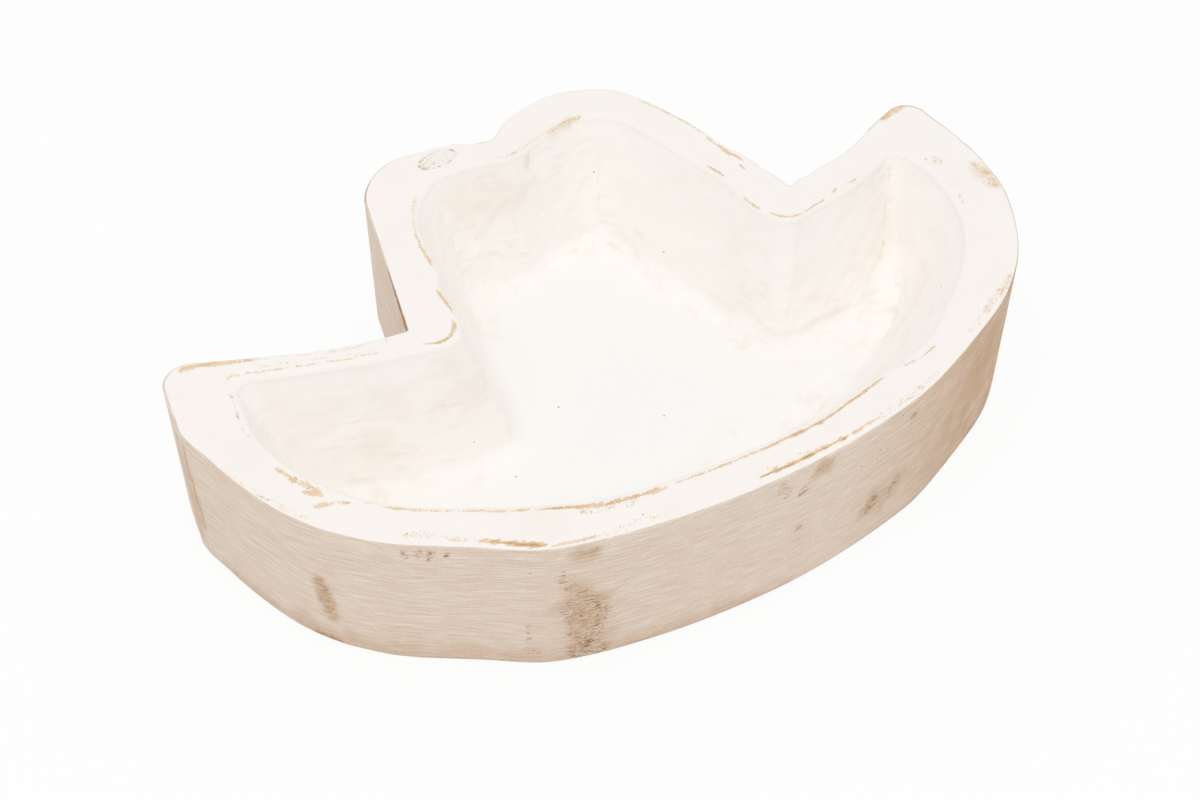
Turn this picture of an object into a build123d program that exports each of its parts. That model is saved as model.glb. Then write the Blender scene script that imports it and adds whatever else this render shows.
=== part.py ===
from build123d import *
import os
from dataclasses import astuple, dataclass
from math import cos, pi, radians, sin, tan

# Dough bowl carved from one plank, with the outline of a wide-brimmed hat.
# Sizes are in millimetres and angles in degrees.
# +X runs along the brim, +Y from the brim to the crown, +Z up.
# The origin is the middle of the outline, on the underside.

# Overall size
brim_span = 334.0
hat_depth = 222.0
height = 63.5

# Brim: levels are measured along Y from its front edge
notch_level = 126.2
left_tip_level = 153.2
right_tip_level = 152.2
left_tip_tuck = 6.0
right_tip_tuck = 5.5
front_shift = -2.0
back_sag = 5.0

# Crown: notches are measured from the middle, and each flank leans in above its notch
left_notch = 76.0
right_notch = 89.6
left_lean = 12.3
right_lean = 16.6
left_lobe_drop = 5.8
dent_shift = 0.0
lobe_fullness = 0.55
dent_fullness = 0.12

# Sawn edge: straight sides in front of the tips, corner radii and drop of the dent below the crown's top.
# A fullness is how far a curve keeps the direction of its end, as a share of its run.
sawn_left_side = 33.2
sawn_right_side = 43.2
sawn_end_fullness = 0.45
sawn_front_fullness = 0.70
sawn_tip_radius = 8.0
sawn_notch_radius = 2.5
sawn_left_lobe_radius = 27.0
sawn_right_lobe_radius = 34.0
sawn_dent_drop = 14.5

# Widths of the flat rim
rim_front = 15.5
rim_left_end = 23.0
rim_right_end = 26.0
rim_left_back = 12.0
rim_right_back = 16.0
rim_left_flank = 16.5
rim_right_flank = 16.0
rim_crown = 18.5

# Edge of the hollow at its mouth
mouth_left_side = 25.0
mouth_right_side = 30.0
mouth_end_fullness = 0.42
mouth_front_fullness = 0.68
mouth_tip_radius = 5.0
mouth_notch_radius = 8.0
mouth_left_lobe_radius = 21.0
mouth_right_lobe_radius = 23.0
mouth_dent_drop = 9.0

# Edge of the hollow at its floor
floor_left_side = 17.0
floor_right_side = 14.0
floor_end_fullness = 0.15
floor_front_fullness = 0.52
floor_tip_radius = 7.0
floor_notch_radius = 11.0
floor_left_lobe_radius = 13.0
floor_right_lobe_radius = 13.0
floor_dent_drop = 7.5

# Walls of the hollow
floor_thickness = 13.5
wall_lean = 20.0
front_lean = 24.0
floor_round = 8.0
round_steps = 3

# Eased edges
rim_ease = 2.5
mouth_ease = 1.5
foot_ease = 2.0

# Oval knot of branch wood in the rim of the left lobe
knot_length = 17.0
knot_width = 9.0
knot_depth = 16.0
knot_turn = 8.0
knot_shift = 10.0
knot_gap = 0.15

front = -hat_depth / 2
base = front + notch_level
lean = radians(wall_lean)
front_spread = tan(radians(front_lean)) / tan(lean)
brim_sizes = {
    -1: (left_tip_tuck, left_tip_level, sawn_left_side, left_notch),
    1: (right_tip_tuck, right_tip_level, sawn_right_side, right_notch),
}


@dataclass
class Insets:
    """How far each side of an outline lies inside the sawn edge."""

    front: float = 0.0
    left_end: float = 0.0
    right_end: float = 0.0
    left_back: float = 0.0
    right_back: float = 0.0
    left_flank: float = 0.0
    right_flank: float = 0.0
    crown: float = 0.0


@dataclass
class Shape:
    """Sides, fullness, corner radii and dent of an outline."""

    left_side: float
    right_side: float
    end_fullness: float
    front_fullness: float
    tip: float
    notch: float
    left_lobe: float
    right_lobe: float
    dent_drop: float

    def towards(self, other, share):
        """Shape between this one and another."""
        return Shape(*(a + share * (b - a) for a, b in zip(astuple(self), astuple(other))))


def rim_insets(run):
    """Insets of the hollow where its sides have leaned in by run, and its front by more."""
    return Insets(
        front=rim_front + run * front_spread,
        left_end=rim_left_end + run,
        right_end=rim_right_end + run,
        left_back=rim_left_back + run,
        right_back=rim_right_back + run,
        left_flank=rim_left_flank + run,
        right_flank=rim_right_flank + run,
        crown=rim_crown + run,
    )


def inset_corner(corner, end_a, end_b, inset_a, inset_b):
    """Moves a corner inwards from the two edges that run from it to end_a and end_b."""
    along_a = (end_a - corner).normalized()
    along_b = (end_b - corner).normalized()
    spread = along_a.cross(along_b).length
    return corner + (along_a * inset_b + along_b * inset_a) * (1 / spread)


def eased_curve(start, end, start_handle, end_handle):
    """Draws a curve that leaves each end point along its handle."""
    Bezier(start, start + start_handle, end + end_handle, end)


class Lobe:
    """One lobe of the crown: a leaning flank that runs into a round top.

    Args:
        side: -1 for the left lobe and 1 for the right lobe
        flank_x: distance from the middle to the flank, level with the notch of the sawn edge
        flank_lean: how far the flank leans in
        top: level of the round top along Y
        foot: level of the notch along Y
        radius: radius of the round top
    """

    def __init__(self, side, flank_x, flank_lean, top, foot, radius):
        tilt = radians(flank_lean)
        half_turn = (pi / 2 + tilt) / 2
        reach = (radius + (top - radius - base) * sin(tilt)) / cos(tilt)
        centre = Vector(side * (flank_x - reach), top - radius)
        self.notch = Vector(side * (flank_x + (base - foot) * tan(tilt)), foot)
        self.flank = centre + Vector(side * cos(tilt), sin(tilt)) * radius
        self.shoulder = centre + Vector(side * cos(half_turn), sin(half_turn)) * radius
        self.top = centre + Vector(0, radius)

    def lines(self, dent):
        """Draws the lobe in the open line block, from its notch to the dent."""
        Line(self.notch, self.flank)
        ThreePointArc(self.flank, self.shoulder, self.top)
        run = Vector(dent.X - self.top.X, 0)
        eased_curve(self.top, dent, run * lobe_fullness, run * -dent_fullness)


class BrimEnd:
    """One end of the brim: half of the front edge, a straight side, a tip and half of the back edge.

    Args:
        end: where the front edge and the straight side meet
        tip: corner of the straight side and the back edge
    """

    def __init__(self, end, tip):
        self.end = end
        self.tip = tip

    def lines(self, foremost, notch, shape):
        """Draws the end in the open line block, from the foremost point to the notch."""
        along = Vector(self.end.X - foremost.X, 0)
        across = Vector(0, foremost.Y - self.end.Y)
        eased_curve(foremost, self.end, along * shape.front_fullness, across * shape.end_fullness)
        Line(self.end, self.tip)
        SagittaArc(self.tip, notch, back_sag if along.X > 0 else -back_sag)


class HatOutline:
    """Brim and crown of the bowl at one level.

    Args:
        insets: how far the outline lies inside the sawn edge
        shape: its sides, fullness, radii and dent
    """

    def __init__(self, insets, shape):
        top = hat_depth / 2 - insets.crown
        left_flank = left_notch - insets.left_flank / cos(radians(left_lean))
        right_flank = right_notch - insets.right_flank / cos(radians(right_lean))
        self.shape = shape
        self.foremost = Vector(front_shift, front + insets.front)
        self.dent = Vector(dent_shift, top - shape.dent_drop)
        self.left_lobe = Lobe(-1, left_flank, left_lean, top - left_lobe_drop,
                              base - insets.left_back, shape.left_lobe)
        self.right_lobe = Lobe(1, right_flank, right_lean, top,
                               base - insets.right_back, shape.right_lobe)
        self.left_brim = brim_end(-1, insets.left_end, insets.left_back, shape.left_side)
        self.right_brim = brim_end(1, insets.right_end, insets.right_back, shape.right_side)

    def rounded_corners(self):
        """Each corner that is rounded, with its radius."""
        return (
            (self.left_brim.tip, self.shape.tip),
            (self.right_brim.tip, self.shape.tip),
            (self.left_lobe.notch, self.shape.notch),
            (self.right_lobe.notch, self.shape.notch),
        )

    def sketch(self, plane):
        """Sketch of the outline on a plane."""
        with BuildSketch(plane) as hat:
            with BuildLine():
                self.left_brim.lines(self.foremost, self.left_lobe.notch, self.shape)
                self.right_brim.lines(self.foremost, self.right_lobe.notch, self.shape)
                self.left_lobe.lines(self.dent)
                self.right_lobe.lines(self.dent)
            make_face()
            for corner, radius in self.rounded_corners():
                fillet(hat.vertices().sort_by_distance(corner)[0], radius=radius)
        return hat.sketch


def brim_end(side, end_inset, back_inset, straight):
    """End of the brim on one side, inset from the sawn edge, with the given straight side."""
    tuck, tip_level, sawn_side, notch = brim_sizes[side]
    sawn_tip = Vector(side * (brim_span / 2 - tuck), front + tip_level)
    sawn_end = Vector(side * brim_span / 2, sawn_tip.Y - sawn_side)
    sawn_foot = Vector(side * notch, base)
    tip = inset_corner(sawn_tip, sawn_end, sawn_foot, end_inset, back_inset)
    return BrimEnd(Vector(sawn_end.X - side * end_inset, tip.Y - straight), tip)


def hollow_levels():
    """Heights of the hollow's sections, each with how far its sides have leaned in."""
    levels = [(height, -mouth_ease), (height - mouth_ease, mouth_ease * tan(lean))]
    spring = floor_thickness + floor_round * (1 - sin(lean))
    spring_run = (height - spring) * tan(lean)
    for step in range(round_steps + 1):
        angle = lean + (pi / 2 - lean) * step / round_steps
        level = floor_thickness + floor_round * (1 - sin(angle))
        levels.append((level, spring_run + floor_round * (cos(lean) - cos(angle))))
    return levels


def hollow_section(level, run):
    """Sketch of the hollow at one height."""
    share = (height - level) / (height - floor_thickness)
    shape = mouth_shape.towards(floor_shape, share)
    return HatOutline(rim_insets(run), shape).sketch(Plane.XY.offset(level))


sawn_shape = Shape(
    left_side=sawn_left_side,
    right_side=sawn_right_side,
    end_fullness=sawn_end_fullness,
    front_fullness=sawn_front_fullness,
    tip=sawn_tip_radius,
    notch=sawn_notch_radius,
    left_lobe=sawn_left_lobe_radius,
    right_lobe=sawn_right_lobe_radius,
    dent_drop=sawn_dent_drop,
)
mouth_shape = Shape(
    left_side=mouth_left_side,
    right_side=mouth_right_side,
    end_fullness=mouth_end_fullness,
    front_fullness=mouth_front_fullness,
    tip=mouth_tip_radius,
    notch=mouth_notch_radius,
    left_lobe=mouth_left_lobe_radius,
    right_lobe=mouth_right_lobe_radius,
    dent_drop=mouth_dent_drop,
)
floor_shape = Shape(
    left_side=floor_left_side,
    right_side=floor_right_side,
    end_fullness=floor_end_fullness,
    front_fullness=floor_front_fullness,
    tip=floor_tip_radius,
    notch=floor_notch_radius,
    left_lobe=floor_left_lobe_radius,
    right_lobe=floor_right_lobe_radius,
    dent_drop=floor_dent_drop,
)
sawn_outline = HatOutline(Insets(), sawn_shape)
knot_middle = sawn_outline.left_lobe.top + Vector(knot_shift, -rim_crown / 2)
knot_plane = Plane(knot_middle + Vector(0, 0, height - knot_depth)).rotated((0, 0, knot_turn))

with BuildPart() as bowl_body:
    # Sawn plank with eased edges
    add(sawn_outline.sketch(Plane.XY))
    extrude(amount=height)
    fillet(bowl_body.faces().sort_by(Axis.Z)[-1].edges(), radius=rim_ease)
    fillet(bowl_body.faces().sort_by(Axis.Z)[0].edges(), radius=foot_ease)
    # Carved hollow
    loft([hollow_section(level, run) for level, run in hollow_levels()], ruled=True, mode=Mode.SUBTRACT)
    # Pocket of the knot
    with BuildSketch(knot_plane):
        Ellipse(knot_length / 2 + knot_gap, knot_width / 2 + knot_gap)
    extrude(amount=knot_depth, mode=Mode.SUBTRACT)
bowl_body.part.label = "bowl_body"

with BuildPart() as rim_knot:
    with BuildSketch(knot_plane):
        Ellipse(knot_length / 2, knot_width / 2)
    extrude(amount=knot_depth)
rim_knot.part.label = "rim_knot"

os.makedirs("parts", exist_ok=True)
export_step(bowl_body.part, "parts/bowl_body.step")
export_step(rim_knot.part, "parts/rim_knot.step")
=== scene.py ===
"""Dresses a hat-shaped dough bowl: one carved plank with a worn white wash, and the knot in its rim."""
import logging
import math
from dataclasses import astuple, dataclass, replace
from enum import Enum, IntEnum
from typing import Callable, Iterator

import bmesh
import bpy
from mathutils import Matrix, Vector, noise
from mathutils.kdtree import KDTree


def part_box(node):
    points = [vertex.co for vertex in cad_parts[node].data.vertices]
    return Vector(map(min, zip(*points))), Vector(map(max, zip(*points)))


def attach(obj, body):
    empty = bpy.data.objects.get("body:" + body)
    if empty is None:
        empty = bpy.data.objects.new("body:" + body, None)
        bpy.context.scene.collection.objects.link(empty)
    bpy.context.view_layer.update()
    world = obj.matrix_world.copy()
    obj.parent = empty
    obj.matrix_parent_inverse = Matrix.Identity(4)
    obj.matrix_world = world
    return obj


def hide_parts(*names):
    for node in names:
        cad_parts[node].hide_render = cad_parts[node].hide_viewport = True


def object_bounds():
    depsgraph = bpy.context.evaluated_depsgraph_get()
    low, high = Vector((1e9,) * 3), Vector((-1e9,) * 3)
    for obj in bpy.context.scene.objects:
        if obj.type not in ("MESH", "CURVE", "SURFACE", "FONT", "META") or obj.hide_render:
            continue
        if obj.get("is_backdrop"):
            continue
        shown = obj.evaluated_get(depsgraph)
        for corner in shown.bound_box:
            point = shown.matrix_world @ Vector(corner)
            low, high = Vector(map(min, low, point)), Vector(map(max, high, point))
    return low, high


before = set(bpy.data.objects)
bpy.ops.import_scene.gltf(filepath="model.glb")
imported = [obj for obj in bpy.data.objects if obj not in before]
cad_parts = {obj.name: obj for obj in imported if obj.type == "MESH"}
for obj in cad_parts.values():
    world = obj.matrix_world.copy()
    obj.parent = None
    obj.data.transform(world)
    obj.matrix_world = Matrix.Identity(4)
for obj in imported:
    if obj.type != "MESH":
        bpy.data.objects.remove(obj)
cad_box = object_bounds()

LOG = logging.getLogger("dough_bowl")
MM = 0.001
BODY = "root"
TINY = 1e-9
FINE_STEPS = 4
NEAR_END = 0.03
MOST_TRIMMED = 0.9
TANGENT_STEPS = 3

BMesh = bmesh.types.BMesh
BMVert = bmesh.types.BMVert
Socket = bpy.types.NodeSocket
Curve = Callable[[float], Vector]
Colour = tuple[float, float, float, float]
Triple = tuple[float, float, float]
Span = tuple[float, ...]


class Region(IntEnum):
    """Parts of the bowl's surface, in the order in which its profile passes them."""

    UNDERSIDE = 0
    FOOT = 1
    WALL = 2
    ARRIS = 3
    RIM = 4
    LIP = 5
    HOLLOW = 6
    ROUND = 7
    FLOOR = 8


class Stretch(Enum):
    """Stretches of the hat outline, with the vertices that each one gets."""

    FRONT = 150
    SIDE = 22
    TIP = 12
    BACK = 66
    NOTCH = 10
    FLANK = 68
    LOBE = 44
    SADDLE = 34


def srgb(red: int, green: int, blue: int) -> Colour:
    """Turns a screen colour into a linear one.

    Args:
        red: red, from 0 to 255
        green: green, from 0 to 255
        blue: blue, from 0 to 255

    Returns:
        The linear colour, with full alpha.
    """
    def linear(value: int) -> float:
        """One channel, from 0 to 1."""
        share = value / 255
        return share / 12.92 if share <= 0.04045 else ((share + 0.055) / 1.055) ** 2.4

    return linear(red), linear(green), linear(blue), 1.0


def smooth(share: float) -> float:
    """Eases a share between 0 and 1."""
    share = min(max(share, 0.0), 1.0)
    return share * share * (3 - 2 * share)


def straight(start: Vector, end: Vector) -> Curve:
    """Straight line between two points."""
    return lambda t: start.lerp(end, t)


def eased(start: Vector, end: Vector, start_handle: Vector, end_handle: Vector) -> Curve:
    """Cubic curve that leaves each end point along its handle."""
    a, b = start + start_handle, end + end_handle
    return lambda t: start * (1 - t) ** 3 + a * 3 * t * (1 - t) ** 2 + b * 3 * t * t * (1 - t) + end * t ** 3


def turned(centre: Vector, radius: float, start: float, end: float) -> Curve:
    """Arc around a centre.

    Args:
        centre: the centre
        radius: the radius
        start: angle of its first point, in radians
        end: angle of its last point

    Returns:
        The arc.
    """
    def point(t: float) -> Vector:
        """Point at a share of the arc."""
        angle = start + t * (end - start)
        return centre + Vector((math.cos(angle), math.sin(angle))) * radius

    return point


def bowed(start: Vector, end: Vector, sag: float) -> Curve:
    """Arc between two points.

    Args:
        start: its first point
        end: its last point
        sag: how far it bows out, to the right of its direction

    Returns:
        The arc.
    """
    half = (end - start) / 2
    out = Vector((half.y, -half.x)).normalized()
    hand = math.copysign(1.0, sag)
    radius = (half.length_squared + sag * sag) / (2 * abs(sag))
    centre = start + half + out * hand * (abs(sag) - radius)
    from_angle = math.atan2(start.y - centre.y, start.x - centre.x)
    sweep = 2 * math.asin(half.length / radius)
    return turned(centre, radius, from_angle, from_angle + hand * sweep)


def length_of(curve: Curve, steps: int = 40) -> float:
    """Length of a curve, measured in short steps."""
    return sum((curve((i + 1) / steps) - curve(i / steps)).length for i in range(steps))


def evenly(curve: Curve, start: float, end: float, count: int) -> list[Vector]:
    """Points at even distances along a stretch of a curve, without its last point.

    Args:
        curve: the curve
        start: share of the curve where the stretch starts
        end: share of the curve where it ends
        count: number of points

    Returns:
        The points, in order.
    """
    fine = FINE_STEPS * count
    points = [curve(start + (end - start) * i / fine) for i in range(fine + 1)]
    travelled = travel_along(points)
    out = []
    k = 0
    for i in range(count):
        goal = travelled[-1] * i / count
        while travelled[k + 1] < goal:
            k += 1
        share = (goal - travelled[k]) / max(travelled[k + 1] - travelled[k], TINY)
        out.append(points[k].lerp(points[k + 1], share))
    return out


def travel_along(points: list[Vector]) -> list[float]:
    """Distance of each point from the first one, along the line through all of them.

    Args:
        points: the points, in order

    Returns:
        A distance for each point.
    """
    travelled = [0.0]
    for a, b in zip(points, points[1:]):
        travelled.append(travelled[-1] + (b - a).length)
    return travelled


@dataclass
class Course:
    """One stretch of an outline: a curve, the share of it that is used, and its vertices."""

    curve: Curve
    stretch: Stretch
    start: float = 0.0
    end: float = 1.0

    def points(self) -> list[Vector]:
        """Points of the course, without its last one."""
        return evenly(self.curve, self.start, self.end, self.stretch.value)

    def backwards(self) -> "Course":
        """The same course, followed the other way."""
        return Course(lambda t: self.curve(1 - t), self.stretch, 1 - self.end, 1 - self.start)


def round_corner(before: Course, after: Course, radius: float, stretch: Stretch) -> Course:
    """Trims two courses at their common corner and rounds it.

    Args:
        before: the course that ends at the corner
        after: the course that starts there
        radius: radius of the round
        stretch: the stretch that the round counts as

    Returns:
        The course of the round.
    """
    corner = before.curve(1.0)
    arriving = (corner - before.curve(1 - NEAR_END)).normalized()
    leaving = (after.curve(NEAR_END) - corner).normalized()
    turn = arriving.angle(leaving)
    cut = radius * math.tan(turn / 2)
    before.end = 1 - min(cut / length_of(before.curve), MOST_TRIMMED)
    after.start = min(cut / length_of(after.curve), MOST_TRIMMED)
    a, b, weight = before.curve(before.end), after.curve(after.start), math.cos(turn / 2)

    def point(t: float) -> Vector:
        """Point of the round, which is a conic through both trimmed ends."""
        middle = 2 * weight * t * (1 - t)
        total = (1 - t) ** 2 + middle + t * t
        return (a * (1 - t) ** 2 + corner * middle + b * t * t) / total

    return Course(point, stretch)


@dataclass(frozen=True)
class Plank:
    """Main sizes of the sawn plank in millimetres, with angles in degrees."""

    span: float
    depth: float
    height: float
    notch_level: float = 126.2
    tip_levels: tuple[float, float] = (153.2, 152.2)
    tip_tucks: tuple[float, float] = (6.0, 5.5)
    sides: tuple[float, float] = (33.2, 43.2)
    notches: tuple[float, float] = (76.0, 89.6)
    leans: tuple[float, float] = (12.3, 16.6)
    front_shift: float = -2.0
    back_sag: float = 5.0
    left_lobe_drop: float = 5.8
    lobe_fullness: float = 0.55
    dent_fullness: float = 0.12

    @property
    def front(self) -> float:
        """Level of the foremost point along Y."""
        return -self.depth / 2

    @property
    def base(self) -> float:
        """Level of the notches along Y."""
        return self.front + self.notch_level


@dataclass(frozen=True)
class HatShape:
    """Form of one outline, and its insets from the sawn edge, in millimetres."""

    left_side: float
    right_side: float
    end_fullness: float
    front_fullness: float
    tip: float
    notch: float
    left_lobe: float
    right_lobe: float
    dent_drop: float
    front: float = 0.0
    left_end: float = 0.0
    right_end: float = 0.0
    left_back: float = 0.0
    right_back: float = 0.0
    left_flank: float = 0.0
    right_flank: float = 0.0
    crown: float = 0.0

    def towards(self, other: "HatShape", share: float) -> "HatShape":
        """Shape at a share of the way to another one."""
        return HatShape(*(a + share * (b - a) for a, b in zip(astuple(self), astuple(other))))

    def moved_in(self, run: float, front_run: float) -> "HatShape":
        """Shape that is moved in.

        Args:
            run: how far its sides move
            front_run: how far its front moves

        Returns:
            The new shape.
        """
        sides = ("left_end", "right_end", "left_back", "right_back", "left_flank", "right_flank", "crown")
        insets = {name: getattr(self, name) + run for name in sides}
        return replace(self, front=self.front + front_run, **insets)

    def loop(self, plank: Plank) -> list[Vector]:
        """Points around the outline, anticlockwise from its foremost point.

        Args:
            plank: the plank that the outline lies in

        Returns:
            Flat points in millimetres, as many on every outline.
        """
        left = [course.backwards() for course in reversed(self.half(plank, -1))]
        return [point for course in self.half(plank, 1) + left for point in course.points()]

    def half(self, plank: Plank, side: int) -> list[Course]:
        """Courses of one half, from the foremost point to the dent.

        Args:
            plank: the plank that the outline lies in
            side: -1 for the left half and 1 for the right half

        Returns:
            The courses, with their corners rounded.
        """
        pick = (side + 1) // 2
        end_inset = (self.left_end, self.right_end)[pick]
        back_inset = (self.left_back, self.right_back)[pick]
        flank_inset = (self.left_flank, self.right_flank)[pick]
        straight_side = (self.left_side, self.right_side)[pick]
        radius = (self.left_lobe, self.right_lobe)[pick]
        tilt = math.radians(plank.leans[pick])
        top = plank.depth / 2 - self.crown
        dent = Vector((0.0, top - self.dent_drop))
        crest = top - (plank.left_lobe_drop if side < 0 else 0.0)
        flank_x = plank.notches[pick] - flank_inset / math.cos(tilt)
        reach = (radius + (crest - radius - plank.base) * math.sin(tilt)) / math.cos(tilt)
        centre = Vector((side * (flank_x - reach), crest - radius))
        notch = Vector((side * (flank_x + back_inset * math.tan(tilt)), plank.base - back_inset))
        flank = centre + Vector((side * math.cos(tilt), math.sin(tilt))) * radius
        lobe_top = centre + Vector((0.0, radius))
        tip = self.inset_tip(plank, side, end_inset, back_inset)
        end = Vector((side * (plank.span / 2 - end_inset), tip.y - straight_side))
        foremost = Vector((plank.front_shift, plank.front + self.front))
        along = Vector((end.x - foremost.x, 0.0)) * self.front_fullness
        across = Vector((0.0, foremost.y - end.y)) * self.end_fullness
        saddle = Vector((dent.x - lobe_top.x, 0.0))
        flank_angle = tilt if side > 0 else math.pi - tilt
        front = Course(eased(foremost, end, along, across), Stretch.FRONT)
        edge = Course(straight(end, tip), Stretch.SIDE)
        back = Course(bowed(tip, notch, -side * plank.back_sag), Stretch.BACK)
        rise = Course(straight(notch, flank), Stretch.FLANK)
        lobe = Course(turned(centre, radius, flank_angle, math.pi / 2), Stretch.LOBE)
        handles = saddle * plank.lobe_fullness, saddle * -plank.dent_fullness
        fall = Course(eased(lobe_top, dent, *handles), Stretch.SADDLE)
        tip_round = round_corner(edge, back, self.tip, Stretch.TIP)
        notch_round = round_corner(back, rise, self.notch, Stretch.NOTCH)
        return [front, edge, tip_round, back, notch_round, rise, lobe, fall]

    @staticmethod
    def inset_tip(plank: Plank, side: int, end_inset: float, back_inset: float) -> Vector:
        """Tip of the brim, moved in from the sawn one.

        Args:
            plank: the plank
            side: -1 for the left tip and 1 for the right tip
            end_inset: how far it moves in from the straight side
            back_inset: how far it moves in from the back edge

        Returns:
            The tip.
        """
        pick = (side + 1) // 2
        tip_x = side * (plank.span / 2 - plank.tip_tucks[pick])
        tip = Vector((tip_x, plank.front + plank.tip_levels[pick]))
        end = Vector((side * plank.span / 2, tip.y - plank.sides[pick]))
        along_end = (end - tip).normalized()
        along_back = (Vector((side * plank.notches[pick], plank.base)) - tip).normalized()
        spread = abs(along_end.cross(along_back))
        return tip + (along_end * back_inset + along_back * end_inset) / spread


@dataclass(frozen=True)
class Bulge:
    """A place where the saw or the gouge left the drawn outline, in millimetres."""

    x: float
    y: float
    reach: float
    out: float

    def push(self, point: Vector) -> float:
        """How far a point of the outline moves out."""
        share = (point - Vector((self.x, self.y))).length / self.reach
        return self.out * (1 - share * share) ** 2 if share < 1 else 0.0


@dataclass(frozen=True)
class Spread:
    """A stretch around the bowl where something counts, in millimetres from its foremost point."""

    start: float
    end: float
    rise: float
    fall: float

    def share(self, along: float) -> float:
        """How far it counts at a distance around the bowl."""
        return smooth((along - self.start) / self.rise) * smooth((self.end - along) / self.fall)


def nudged(loop: list[Vector], bulges: tuple[Bulge, ...]) -> list[Vector]:
    """Moves the points of a loop out by its bulges.

    Args:
        loop: points around the loop, anticlockwise
        bulges: the bulges

    Returns:
        The moved points.
    """
    moved = []
    for i, point in enumerate(loop):
        push = sum(bulge.push(point) for bulge in bulges)
        tangent = loop[(i + TANGENT_STEPS) % len(loop)] - loop[i - TANGENT_STEPS]
        moved.append(point + Vector((tangent.y, -tangent.x)).normalized() * push)
    return moved


def between(first: list[Vector], second: list[Vector], share: float) -> list[Vector]:
    """Loop at a share of the way from one loop to another."""
    return [a.lerp(b, share) for a, b in zip(first, second)]


@dataclass(frozen=True)
class Station:
    """One ring of the bowl's profile: its loop, its level and the part of the surface it is on."""

    loop: list[Vector]
    level: float
    region: Region


@dataclass(frozen=True)
class Carving:
    """Tool marks of the bowl, in millimetres and degrees."""

    gouge_length: float = 26.0
    gouge_width: float = 9.0
    gouge_depth: float = 0.8
    gouge_turn: float = 28.0
    gouge_bite: float = 1.6
    gouge_mean: float = 0.4
    gouge_seed: float = 0.37
    floor_depth: float = 0.35
    floor_stretch: float = 0.6
    saw_wave: float = 0.35
    saw_length: float = 38.0
    saw_seed: float = 0.3
    rim_wave: float = 0.2
    rim_length: float = 30.0
    lip_wave: float = 0.6
    lip_length: float = 17.0
    lip_reach: float = 9.0
    lip_seed: float = 4.1
    knot_calm: float = 1.2
    knot_fade: float = 1.5
    chip: float = 0.2
    seam: float = 40.0

    def gouge(self, along: float, across: float) -> float:
        """Height of the scalloped surface over its mean, as a share of a stroke's depth.

        Args:
            along: distance along the wall
            across: distance up the wall

        Returns:
            The height.
        """
        turn = math.radians(self.gouge_turn)
        u = (along * math.cos(turn) + across * math.sin(turn)) / self.gouge_length
        v = (across * math.cos(turn) - along * math.sin(turn)) / self.gouge_width
        distances, _ = noise.voronoi(Vector((u, v, self.gouge_seed)))
        return min(distances[0] ** 2 * self.gouge_bite, 1.0) - self.gouge_mean

    def around(self, mark: Callable[[float], float], along: float, total: float) -> float:
        """Value of a mark that closes on itself around the bowl.

        Args:
            mark: the mark's height at a distance along the wall
            along: the distance
            total: distance all the way around

        Returns:
            The height, which is the same at both ends.
        """
        share = smooth((along - total + self.seam) / self.seam)
        if share == 0:
            return mark(along)
        return (1 - share) * mark(along) + share * mark(along - total)

    @staticmethod
    def wave(length: float, seed: float) -> Callable[[float], float]:
        """Smooth irregular wave along the wall, between about -1 and 1."""
        return lambda along: noise.noise(Vector((along / length, seed, 0.0)))


@dataclass(frozen=True)
class Rub:
    """A stroke where the wash is rubbed off, stained or darkened with painted shade, on the unrolled surface
    in millimetres.

    Each point gives the distance around the bowl from its foremost point, and the distance along the
    profile from the underside. The stroke is ragged, and narrower at its ends.
    """

    points: tuple[tuple[float, float], ...]
    width: float
    strength: float = 1.0
    wobble: float = 0.6
    wobble_length: float = 4.5
    fade: float = 3.0
    blunt: float = 0.45
    taper: float = 2.5
    body: float = 0.9
    least: float = 0.15
    core: float = 1.35
    falloff: float = 0.75
    seed_step: float = 0.7
    seed: float = 0.5

    @property
    def reach(self) -> tuple[float, float]:
        """Lowest and highest distance around the bowl that the stroke touches.

        Returns:
            Both distances.
        """
        margin = self.fade * self.width
        places = [along for along, _ in self.points]
        return min(places) - margin, max(places) + margin

    def girth(self, spot: float, total: float) -> float:
        """Half-width of the stroke.

        Args:
            spot: distance from its start
            total: its whole length

        Returns:
            The half-width there.
        """
        taper = smooth(self.blunt + self.taper * min(spot, total - spot) / max(total, TINY))
        place = self.points[0][0] * self.seed_step + spot / self.wobble_length
        sway = noise.noise(Vector((place, self.width, self.seed)))
        return self.width * max(taper * (self.body + self.wobble * sway), self.least)

    def amount(self, along: float, across: float) -> float:
        """How strong the stroke is at a point.

        Args:
            along: distance of the point around the bowl
            across: distance of the point along the profile

        Returns:
            A share from 0 to the stroke's strength.
        """
        point, spots = Vector((along, across)), [Vector(p) for p in self.points]
        total = travel_along(spots)[-1]
        best = passed = 0.0
        for a, b in zip(spots, spots[1:]):
            run = b - a
            share = min(max((point - a).dot(run) / max(run.length_squared, TINY), 0.0), 1.0)
            gap = (point - a - run * share).length
            if gap < self.fade * self.width:
                girth = self.girth(passed + share * run.length, total)
                best = max(best, smooth(self.core - self.falloff * gap / girth))
            passed += run.length
        return self.strength * best


def strokes(width: float, strength: float, *runs: tuple[tuple[float, float], ...]) -> tuple[Rub, ...]:
    """Strokes of one width and strength, each along a run of points."""
    return tuple(Rub(run, width, strength) for run in runs)


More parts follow.
